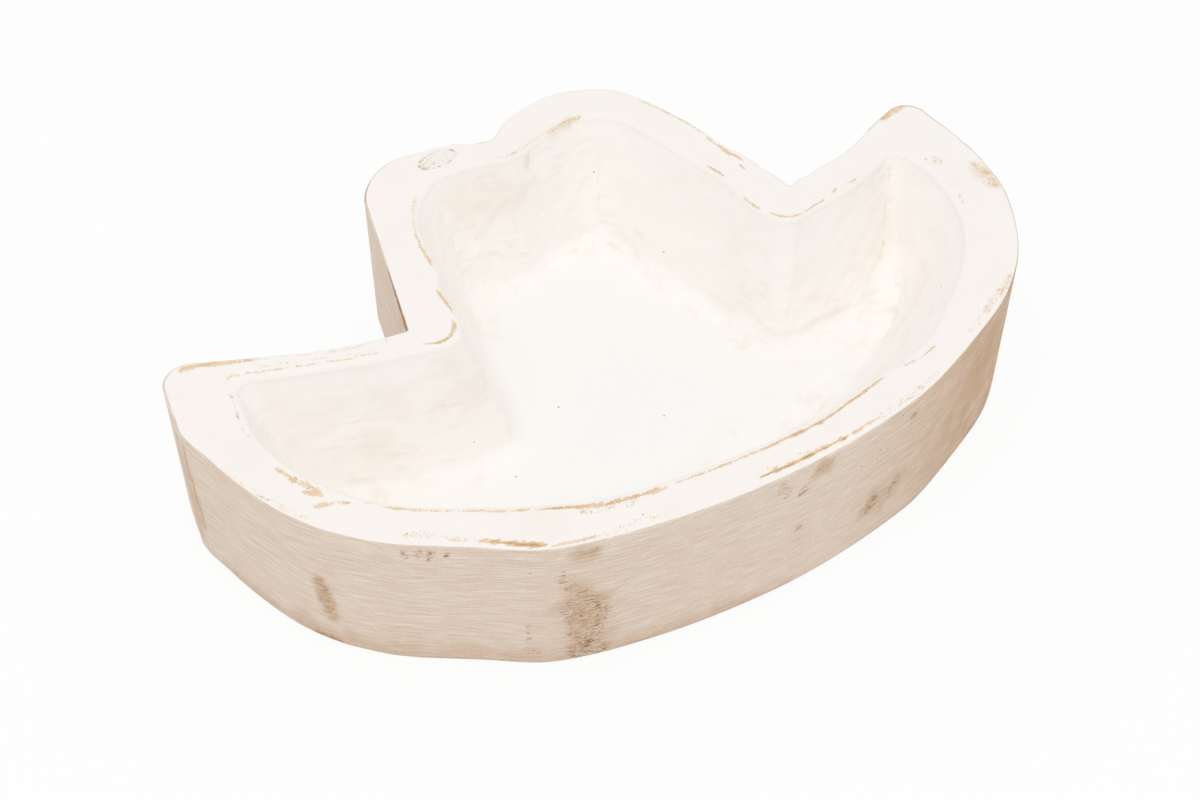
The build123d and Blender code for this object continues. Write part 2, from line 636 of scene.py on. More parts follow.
class Tree:
    """Places and links the nodes of a material or a group."""

    def __init__(self, tree: bpy.types.NodeTree) -> None:
        """Starts from an empty tree."""
        self.tree = tree
        self.tree.nodes.clear()

    def add(self, kind: str, **settings: object) -> bpy.types.Node:
        """Adds a node.

        Args:
            kind: its type
            settings: its settings, by name

        Returns:
            The node.
        """
        node = self.tree.nodes.new(kind)
        for name, value in settings.items():
            setattr(node, name, value)
        return node

    def feed(self, socket: Socket, value: object) -> None:
        """Links a socket to another one, or sets it to a value.

        Args:
            socket: the socket
            value: the other socket, or the value
        """
        if isinstance(value, Socket):
            self.tree.links.new(value, socket)
        else:
            socket.default_value = value

    def math(self, operation: str, first: object, second: object, clamp: bool = False) -> Socket:
        """Adds a math node.

        Args:
            operation: what it does
            first: its first value
            second: its second value
            clamp: whether the result stays between 0 and 1

        Returns:
            The result.
        """
        node = self.add("ShaderNodeMath", operation=operation, use_clamp=clamp)
        self.feed(node.inputs[0], first)
        self.feed(node.inputs[1], second)
        return node.outputs[0]

    def plus(self, first: object, second: object) -> Socket:
        """Sum of two values."""
        return self.math("ADD", first, second)

    def minus(self, first: object, second: object) -> Socket:
        """Difference of two values."""
        return self.math("SUBTRACT", first, second)

    def times(self, first: object, second: object) -> Socket:
        """Product of two values."""
        return self.math("MULTIPLY", first, second)

    def mix(self, share: object, first: object, second: object, blend: str = "MIX") -> Socket:
        """Mixes two colours.

        Args:
            share: share of the second one
            first: the first one
            second: the second one
            blend: how they are mixed

        Returns:
            The mixed colour.
        """
        node = self.add("ShaderNodeMix", data_type="RGBA", blend_type=blend)
        self.feed(node.inputs["Factor"], share)
        self.feed(node.inputs[6], first)
        self.feed(node.inputs[7], second)
        return node.outputs[2]

    def blend(self, share: object, first: object, second: object) -> Socket:
        """Mixes two values.

        Args:
            share: share of the second one
            first: the first one
            second: the second one

        Returns:
            The mixed value.
        """
        node = self.add("ShaderNodeMix", data_type="FLOAT")
        for socket, item in zip(node.inputs[0:1] + node.inputs[2:4], (share, first, second)):
            self.feed(socket, item)
        return node.outputs[0]

    def span(self, value: object, low: object, high: object, bottom: float = 0.0, top: float = 1.0) -> Socket:
        """Maps a range smoothly to another one.

        Args:
            value: the value
            low: start of its range
            high: end of its range
            bottom: what the start becomes
            top: what the end becomes

        Returns:
            The mapped value.
        """
        node = self.add("ShaderNodeMapRange", interpolation_type="SMOOTHSTEP")
        for socket, item in zip(node.inputs, (value, low, high, bottom, top)):
            self.feed(socket, item)
        return node.outputs[0]

    def noise(self, vector: object, scale: object, detail: float = 3.0, roughness: float = 0.55) -> Socket:
        """Adds noise.

        Args:
            vector: where it is read
            scale: its cells per unit
            detail: its octaves
            roughness: how strong the finer octaves are

        Returns:
            Its value.
        """
        node = self.add("ShaderNodeTexNoise")
        self.feed(node.inputs["Vector"], vector)
        self.feed(node.inputs["Scale"], scale)
        node.inputs["Detail"].default_value = detail
        node.inputs["Roughness"].default_value = roughness
        return node.outputs["Fac"]

    def stretched(self, vector: object, scale: Triple, turn: Triple = (0.0, 0.0, 0.0)) -> Socket:
        """Scales and turns a vector.

        Args:
            vector: the vector
            scale: its scale along each axis
            turn: its turn about each axis, in degrees

        Returns:
            The new vector.
        """
        node = self.add("ShaderNodeMapping")
        self.feed(node.inputs["Vector"], vector)
        node.inputs["Scale"].default_value = scale
        node.inputs["Rotation"].default_value = tuple(math.radians(angle) for angle in turn)
        return node.outputs["Vector"]

    def attribute(self, name: str) -> Socket:
        """Reads a value that the mesh carries."""
        return self.add("ShaderNodeAttribute", attribute_name=name).outputs["Fac"]

    def place(self) -> Socket:
        """Reads the place on the piece."""
        return self.add("ShaderNodeTexCoord").outputs["Object"]

    def seen(self) -> Socket:
        """Tells the rays that show the background as it is.

        Returns:
            1 for the camera's rays, reflected ones and those through glass.
        """
        path = self.add("ShaderNodeLightPath").outputs
        seen = self.plus(path["Is Camera Ray"], path["Is Glossy Ray"])
        return self.math("ADD", seen, path["Is Transmission Ray"], clamp=True)

    def surface(self, colour: Socket, roughness: object, specular: float, height: Socket, bump: Span) -> None:
        """Ends a material in its shader.

        Args:
            colour: its colour
            roughness: its roughness
            specular: its specular level
            height: height of its fine relief
            bump: strength of the relief, and its depth in metres
        """
        relief = self.add("ShaderNodeBump")
        relief.inputs["Strength"].default_value, relief.inputs["Distance"].default_value = bump
        self.feed(relief.inputs["Height"], height)
        shader = self.add("ShaderNodeBsdfPrincipled")
        shader.inputs["Specular IOR Level"].default_value = specular
        self.feed(shader.inputs["Base Color"], colour)
        self.feed(shader.inputs["Roughness"], roughness)
        self.feed(shader.inputs["Normal"], relief.outputs["Normal"])
        self.feed(self.add("ShaderNodeOutputMaterial").inputs["Surface"], shader.outputs[0])


def fresh_material(name: str) -> tuple[bpy.types.Material, Tree]:
    """Starts a material.

    Args:
        name: its name

    Returns:
        The material, and its empty tree.
    """
    material = bpy.data.materials.new(name)
    material.use_nodes = True
    return material, Tree(material.node_tree)


class Effect:
    """A shader node group that several finishes share."""

    def __init__(self, name: str, inputs: dict[str, str], outputs: dict[str, str]) -> None:
        """Makes the group's sockets.

        Args:
            name: name of the group
            inputs: socket type of each input
            outputs: socket type of each output
        """
        self.group = bpy.data.node_groups.new(name, "ShaderNodeTree")
        self.tree = Tree(self.group)
        for way, sockets in (("INPUT", inputs), ("OUTPUT", outputs)):
            for label, kind in sockets.items():
                self.group.interface.new_socket(label, in_out=way, socket_type="NodeSocket" + kind)
        self.into = self.tree.add("NodeGroupInput").outputs
        self.out = self.tree.add("NodeGroupOutput").inputs

    def place(self, tree: Tree, **values: object) -> bpy.types.NodeOutputs:
        """Places the group in a material.

        Args:
            tree: the material's nodes
            values: value or link of each input

        Returns:
            The group's outputs there.
        """
        node = tree.add("ShaderNodeGroup", node_tree=self.group)
        for label, value in values.items():
            tree.feed(node.inputs[label], value)
        return node.outputs


@dataclass
class Effects:
    """The effects that the bowl's finishes are made of, with their cells per metre."""

    patch_scale: float = 300.0
    crumb_scale: float = 1500.0
    flake_crumbs: float = 0.6
    scuff_crumbs: float = 0.3
    breaking: float = 3.6
    worn_span: Span = (0.05, 0.25)
    thinned_span: Span = (0.24, 0.62)
    bare_from: float = 0.50
    bare_to: float = 0.62
    streaky_blur: float = 0.22
    sway_scale: float = 28.0
    sway: float = 0.006
    fine_stretch: Triple = (100.0, 100.0, 2100.0)
    broad_stretch: Triple = (14.0, 14.0, 90.0)
    dash_stretch: Triple = (420.0, 420.0, 2000.0)
    grain_stretch: Triple = (18.0, 420.0, 420.0)
    grain_turn: Triple = (0.0, 1.5, 2.0)
    grain_span: Span = (0.3, 0.7)
    speckless: float = 0.6

    def __post_init__(self) -> None:
        """Builds each effect once."""
        self.rubbing = self.make_rubbing()
        self.streaks = self.make_streaks()
        self.grain = self.make_grain()
        self.specks = self.make_specks()

    def make_rubbing(self) -> Effect:
        """Breaks up the places where the wash is rubbed off.

        Returns:
            The effect.
        """
        inputs = {"Vector": "Vector", "Wear": "Float", "Streak": "Float", "Streaky": "Float"}
        effect = Effect("rubbed_wash", inputs, {"Bare": "Float", "Thinned": "Float"})
        tree, place, wear = effect.tree, effect.into["Vector"], effect.into["Wear"]
        patches = tree.noise(place, self.patch_scale, detail=4.0, roughness=0.6)
        crumbs = tree.noise(place, self.crumb_scale, roughness=0.6)
        flakes = tree.blend(self.flake_crumbs, patches, crumbs)
        scuffs = tree.blend(self.scuff_crumbs, effect.into["Streak"], crumbs)
        broken = tree.minus(tree.blend(effect.into["Streaky"], flakes, scuffs), 0.5)
        level = tree.plus(wear, tree.times(broken, self.breaking))
        level = tree.times(level, tree.span(wear, *self.worn_span))
        crisp = tree.plus(self.bare_to, tree.times(effect.into["Streaky"], self.streaky_blur))
        tree.feed(effect.out["Bare"], tree.span(level, self.bare_from, crisp))
        tree.feed(effect.out["Thinned"], tree.span(level, *self.thinned_span))
        return effect

    def make_streaks(self) -> Effect:
        """Fine level strokes of a brush around an upright wall.

        Returns:
            The effect.
        """
        outputs = {"Fine": "Float", "Broad": "Float", "Dash": "Float"}
        effect = Effect("brush_streaks", {"Vector": "Vector"}, outputs)
        tree, place = effect.tree, effect.into["Vector"]
        offset = tree.add("ShaderNodeCombineXYZ")
        tree.feed(offset.inputs["Z"], tree.times(tree.noise(place, self.sway_scale, detail=2.0), self.sway))
        lifted = tree.add("ShaderNodeVectorMath", operation="ADD")
        tree.feed(lifted.inputs[0], place)
        tree.feed(lifted.inputs[1], offset.outputs[0])
        fine = tree.stretched(lifted.outputs[0], self.fine_stretch)
        broad = tree.stretched(lifted.outputs[0], self.broad_stretch)
        dash = tree.stretched(lifted.outputs[0], self.dash_stretch)
        tree.feed(effect.out["Fine"], tree.noise(fine, 1.0, detail=4.0, roughness=0.6))
        tree.feed(effect.out["Broad"], tree.noise(broad, 1.0))
        tree.feed(effect.out["Dash"], tree.noise(dash, 1.0, roughness=0.6))
        return effect

    def make_grain(self) -> Effect:
        """Bare plank wood with its grain along the brim.

        Returns:
            The effect.
        """
        inputs = {"Vector": "Vector", "Pale": "Color", "Dark": "Color"}
        effect = Effect("plank_grain", inputs, {"Color": "Color", "Line": "Float"})
        tree = effect.tree
        run = tree.stretched(effect.into["Vector"], self.grain_stretch, self.grain_turn)
        line = tree.noise(run, 1.0, detail=4.0, roughness=0.6)
        shade = tree.span(line, *self.grain_span)
        tree.feed(effect.out["Line"], line)
        tree.feed(effect.out["Color"], tree.mix(shade, effect.into["Dark"], effect.into["Pale"]))
        return effect

    def make_specks(self) -> Effect:
        """Small dark specks, far apart.

        Returns:
            The effect.
        """
        inputs = {"Vector": "Vector", "Scale": "Float", "Size": "Float"}
        effect = Effect("dark_specks", inputs, {"Mask": "Float"})
        tree = effect.tree
        cells = tree.add("ShaderNodeTexVoronoi", feature="F1")
        tree.feed(cells.inputs["Vector"], effect.into["Vector"])
        tree.feed(cells.inputs["Scale"], effect.into["Scale"])
        near = tree.math("LESS_THAN", cells.outputs["Distance"], effect.into["Size"])
        parts = tree.add("ShaderNodeSeparateColor")
        tree.feed(parts.inputs[0], cells.outputs["Color"])
        chosen = tree.math("GREATER_THAN", parts.outputs[0], self.speckless)
        tree.feed(effect.out["Mask"], tree.times(near, chosen))
        return effect


@dataclass(frozen=True)
class WashFinish:
    """White wash over tan wood, thin on the sawn walls and rubbed through at the edges. Some of its colour is
    painted light: a lighter wash in the hollow, and painted shade in the ripple grooves, on the wall's
    right-hand stretch and in a few stain strokes.

    Scales are in cells per metre. A span gives the range of a value that counts, and what it becomes.
    """

    name: str = "whitewashed_wood"
    white: Colour = srgb(252, 247, 242)
    # painted light: the hollow's wash is lighter than the rim's white, to offset the shade inside the hollow
    inner: Colour = srgb(255, 251, 247)
    floor: Colour = srgb(251, 250, 247)
    cloud: Colour = srgb(244, 236, 227)
    thin: Colour = srgb(239, 223, 208)
    thin_dark: Colour = srgb(219, 199, 180)
    scratch: Colour = srgb(249, 240, 230)
    # tan tint of the stained sawn walls; on the wall's right-hand stretch it is also painted shade
    wall_tan_and_shade: Colour = srgb(224, 202, 177)
    wood_pale: Colour = srgb(246, 220, 184)
    wood_dark: Colour = srgb(225, 190, 148)
    wood_deep: Colour = srgb(200, 161, 112)
    wall_pale: Colour = srgb(190, 148, 100)
    wall_wood: Colour = srgb(148, 105, 56)
    # partly painted shade: the darker wash in the ripple grooves of the hollow's walls, partly pooled wash
    pooled_groove_shade: Colour = srgb(240, 230, 219)
    stain_and_shade: Colour = srgb(238, 224, 202)
    speck: Colour = srgb(120, 104, 84)
    roughness: float = 0.72
    bare_gloss: float = -0.1
    specular: float = 0.25
    bump: Span = (0.35, 0.0004)
    wall_relief: float = 0.8
    rim_relief: float = 0.2
    bare_relief: float = 0.5
    ragged_scale: float = 420.0
    ragged_reach: float = 0.7
    ragged_span: Span = (0.4, 0.6)
    bare_wall_scale: float = 130.0
    bare_wall_span: Span = (0.4, 0.6)
    mottle_scale: float = 700.0
    mottle_span: Span = (0.95, 1.35)
    inner_span: Span = (0.0, 0.5)
    floor_span: Span = (0.5, 1.0)
    lean_span: Span = (0.2, 0.5)
    shore_span: Span = (1.0, 0.75)
    cloud_scale: float = 55.0
    cloud_span: Span = (0.45, 0.75, 0.0, 0.24)
    ripple_stretch: Triple = (85.0, 85.0, 330.0)
    ripple_turn: Triple = (12.0, -10.0, 0.0)
    ripple_span: Span = (0.46, 0.72)
    # patches where the ripple grooves get their pooled wash and painted shade
    groove_shade_scale: float = 26.0
    groove_shade_span: Span = (0.40, 0.64, 0.08, 0.5)
    broad_share: float = 0.15
    band_span: Span = (0.34, 0.64)
    scratch_span: Span = (0.62, 0.72, 0.0, 0.8)
    dark_fleck_scale: float = 1900.0
    dark_fleck_span: Span = (0.52, 0.70, 0.0, 0.75)
    pale_fleck_scale: float = 2600.0
    pale_fleck_span: Span = (0.54, 0.72, 0.0, 0.5)
    stain_scale: float = 90.0
    stain_span: Span = (0.25, 0.7, 0.6, 1.0)
    speck_scale: float = 95.0
    speck_size: float = 0.045
    speck_share: float = 0.5
    halo_share: float = 0.35

    def make(self, effects: Effects) -> bpy.types.Material:
        """Builds the material.

        Args:
            effects: the shared effects

        Returns:
            The material.
        """
        material, tree = fresh_material(self.name)
        place, wear = tree.place(), tree.attribute("wear")
        streaks = effects.streaks.place(tree, Vector=place)
        ragged = tree.minus(tree.noise(place, self.ragged_scale, detail=4.0), 0.5)
        edge = tree.plus(tree.attribute("thin"), tree.times(ragged, self.ragged_reach))
        thinness = tree.span(edge, *self.ragged_span)
        dash = streaks["Dash"]
        rubbing = effects.rubbing.place(tree, Vector=place, Wear=wear, Streak=dash, Streaky=thinness)
        grain = effects.grain.place(tree, Vector=place, Pale=self.wood_pale, Dark=self.wood_dark)
        mottled = tree.plus(wear, tree.minus(tree.noise(place, self.mottle_scale), 0.5))
        bare_top = tree.mix(tree.span(mottled, *self.mottle_span), grain["Color"], self.wood_deep)
        bare_wall = tree.span(tree.noise(place, self.bare_wall_scale, detail=4.0), *self.bare_wall_span)
        bare = tree.mix(thinness, bare_top, tree.mix(bare_wall, self.wall_pale, self.wall_wood))

        inner = tree.attribute("inner")
        shore = tree.span(inner, *self.shore_span)
        leaning = tree.times(tree.span(inner, *self.lean_span), shore)
        turned_place = tree.stretched(place, self.ripple_stretch, self.ripple_turn)
        ripple = tree.noise(turned_place, 1.0, detail=5.0, roughness=0.65)
        bands = tree.blend(self.broad_share, streaks["Fine"], streaks["Broad"])
        # The hollow's leaning walls are darker in their ripple grooves: partly pooled wash, partly painted
        # shade.
        wash = self.washed(tree, place, inner, shore, tree.times(leaning, self.groove_shaded(tree, place, ripple)))
        paint = tree.mix(thinness, wash, self.streaked(tree, place, bands, streaks["Fine"]))

        # The stain attribute darkens the paint: real stains, plus painted shade on the wall's right-hand
        # stretch, on a facet of the left brim end, in a corner of the hollow and beside a gouge ridge.
        stained = tree.span(tree.noise(place, self.stain_scale), *self.stain_span)
        tan_and_shade = tree.mix(1.0, paint, self.wall_tan_and_shade, "MULTIPLY")
        stains_and_shade = tree.mix(thinness, self.stain_and_shade, tan_and_shade)
        paint = tree.mix(tree.times(tree.attribute("stain_and_shade"), stained), paint, stains_and_shade)
        specks = effects.specks.place(tree, Vector=place, Scale=self.speck_scale, Size=self.speck_size)
        paint = tree.mix(tree.times(specks["Mask"], self.speck_share), paint, self.speck)
        halo = tree.mix(tree.times(rubbing["Thinned"], self.halo_share), paint, bare)
        colour = tree.mix(rubbing["Bare"], halo, bare)

        relief = tree.times(bands, tree.plus(tree.times(thinness, self.wall_relief), self.rim_relief))
        relief = tree.minus(relief, tree.times(rubbing["Bare"], self.bare_relief))
        relief = tree.minus(relief, tree.times(leaning, ripple))
        roughness = tree.plus(tree.times(rubbing["Bare"], self.bare_gloss), self.roughness)
        tree.surface(colour, roughness, self.specular, relief, self.bump)
        return material

    def groove_shaded(self, tree: Tree, place: Socket, ripple: Socket) -> Socket:
        """Where the wash of the leaning walls is darker in the ripple grooves: partly wash pooled there,
        partly painted shade that brings out the relief.

        Args:
            tree: the material's nodes
            place: the place on the piece
            ripple: the ripple of the walls

        Returns:
            A share from 0 to 1.
        """
        areas = tree.span(tree.noise(place, self.groove_shade_scale), *self.groove_shade_span)
        return tree.times(tree.span(ripple, *self.ripple_span), areas)

    def washed(self, tree: Tree, place: Socket, inner: Socket, shore: Socket, scuffs: Socket) -> Socket:
        """Colour of the thick wash on the rim and in the hollow. The hollow's wash is painted lighter than
        the rim's, to offset the shade inside it.

        Args:
            tree: the material's nodes
            place: the place on the piece
            inner: how far inside the hollow a point is
            shore: 0 in the middle of the floor and 1 away from it
            scuffs: where the ripple grooves are darker, from pooled wash and from painted shade

        Returns:
            The colour.
        """
        # painted light: the hollow's walls get a lighter wash than the rim, to offset the shade inside the
        # hollow
        wash = tree.mix(tree.span(inner, *self.inner_span), self.white, self.inner)
        wash = tree.mix(tree.span(inner, *self.floor_span), wash, self.floor)
        clouds = tree.noise(place, self.cloud_scale, detail=5.0, roughness=0.65)
        wash = tree.mix(tree.times(tree.span(clouds, *self.cloud_span), shore), wash, self.cloud)
        return tree.mix(scuffs, wash, self.pooled_groove_shade)

    def streaked(self, tree: Tree, place: Socket, bands: Socket, fine: Socket) -> Socket:
        """Colour of the thin wash on the sawn walls.

        Args:
            tree: the material's nodes
            place: the place on the piece
            bands: the brush strokes
            fine: the finest of them

        Returns:
            The colour.
        """
        walls = tree.mix(tree.span(bands, *self.band_span), self.thin_dark, self.thin)
        walls = tree.mix(tree.span(fine, *self.scratch_span), walls, self.scratch)
        flecks = (
            (self.dark_fleck_scale, self.dark_fleck_span, self.thin_dark),
            (self.pale_fleck_scale, self.pale_fleck_span, self.scratch),
        )
        for scale, span, colour in flecks:
            walls = tree.mix(tree.span(tree.noise(place, scale, detail=2.0), *span), walls, colour)
        return walls


@dataclass(frozen=True)
class KnotFinish:
    """White wash over the closed rings of a branch."""

    name: str = "knot_wood"
    white: Colour = srgb(248, 243, 237)
    ring: Colour = srgb(230, 207, 180)
    wood_dark: Colour = srgb(208, 180, 149)
    roughness: float = 0.72
    specular: float = 0.25
    bump: Span = (0.3, 0.0003)
    halo_share: float = 0.4

    def make(self, effects: Effects) -> bpy.types.Material:
        """Builds the material.

        Args:
            effects: the shared effects

        Returns:
            The material.
        """
        material, tree = fresh_material(self.name)
        place, wear = tree.place(), tree.attribute("wear")
        rubbing = effects.rubbing.place(tree, Vector=place, Wear=wear, Streak=0.5, Streaky=0.0)
        grain = effects.grain.place(tree, Vector=place, Pale=self.ring, Dark=self.wood_dark)
        colour = tree.mix(tree.times(rubbing["Thinned"], self.halo_share), self.white, grain["Color"])
        colour = tree.mix(rubbing["Bare"], colour, grain["Color"])
        relief = tree.minus(grain["Line"], rubbing["Bare"])
        tree.surface(colour, self.roughness, self.specular, relief, self.bump)
        return material


def shown(name: str, data: bpy.types.ID) -> bpy.types.Object:
    """Puts a new object into the scene.

    Args:
        name: its name
        data: its mesh, lamp or camera

    Returns:
        The object, at the origin.
    """
    thing = bpy.data.objects.new(name, data)
    bpy.context.scene.collection.objects.link(thing)
    return thing


def piece_from(bm: BMesh, name: str, material: bpy.types.Material) -> bpy.types.Object:
    """Turns a finished bmesh into a smooth object of the scene.

    Args:
        bm: the bmesh, which is freed
        name: name of the piece
        material: its finish

    Returns:
        The object, at the origin.
    """
    bmesh.ops.recalc_face_normals(bm, faces=bm.faces)
    for face in bm.faces:
        face.smooth = True
    mesh = bpy.data.meshes.new(name)
    bm.to_mesh(mesh)
    bm.free()
    mesh.materials.append(material)
    return shown(name, mesh)


def middle_first(low: int, high: int) -> Iterator[int]:
    """Gives the numbers of a range, each time the middle of what is left.

    Args:
        low: first number
        high: number after the last

    Yields:
        The numbers.
    """
    spans = [(low, high)]
    for a, b in spans:
        if a < b:
            middle = (a + b) // 2
            yield middle
            spans += [(a, middle), (middle + 1, b)]


def cut_grid(bm: BMesh, face: bmesh.types.BMFace, step: float) -> None:
    """Cuts a flat level face into a grid.

    Args:
        bm: the bmesh
        face: the face
        step: width of the grid's cells
    """
    corners = [v.co.copy() for v in face.verts]
    geometry = [face, *face.edges, *face.verts]
    for axis in (0, 1):
        low = min(c[axis] for c in corners)
        high = max(c[axis] for c in corners)
        way = Vector((1.0 - axis, float(axis), 0.0))
        for k in middle_first(1, int((high - low) / step)):
            spot = way * (low + k * step)
            cut = bmesh.ops.bisect_plane(bm, geom=geometry, dist=1e-7, plane_co=spot, plane_no=way)
            geometry = cut["geom"]


@dataclass(frozen=True)
class Oval:
    """The knot's outline in the rim, in millimetres and degrees."""

    x: float
    y: float
    length: float = 17.0
    width: float = 9.0
    turn: float = 8.0

    @classmethod
    def packed(cls) -> "Oval":
        """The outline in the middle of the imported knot."""
        low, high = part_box("rim_knot")
        return cls((low.x + high.x) / 2 / MM, (low.y + high.y) / 2 / MM)

    def local(self, x: float, y: float) -> Vector:
        """Place of a point within the oval.

        Args:
            x: the point's X, in millimetres
            y: its Y

        Returns:
            Its distance from the middle, in half-lengths and half-widths.
        """
        turn = math.radians(self.turn)
        dx, dy = x - self.x, y - self.y
        return Vector(((dx * math.cos(turn) + dy * math.sin(turn)) * 2 / self.length,
                       (dy * math.cos(turn) - dx * math.sin(turn)) * 2 / self.width))

    def spot(self, place: Vector) -> Vector:
        """Flat point at a place within the oval.

        Args:
            place: distance from the middle, in half-lengths and half-widths

        Returns:
            The point, in millimetres.
        """
        turn = math.radians(self.turn)
        dx, dy = place.x * self.length / 2, place.y * self.width / 2
        return Vector((self.x + dx * math.cos(turn) - dy * math.sin(turn),
                       self.y + dx * math.sin(turn) + dy * math.cos(turn)))


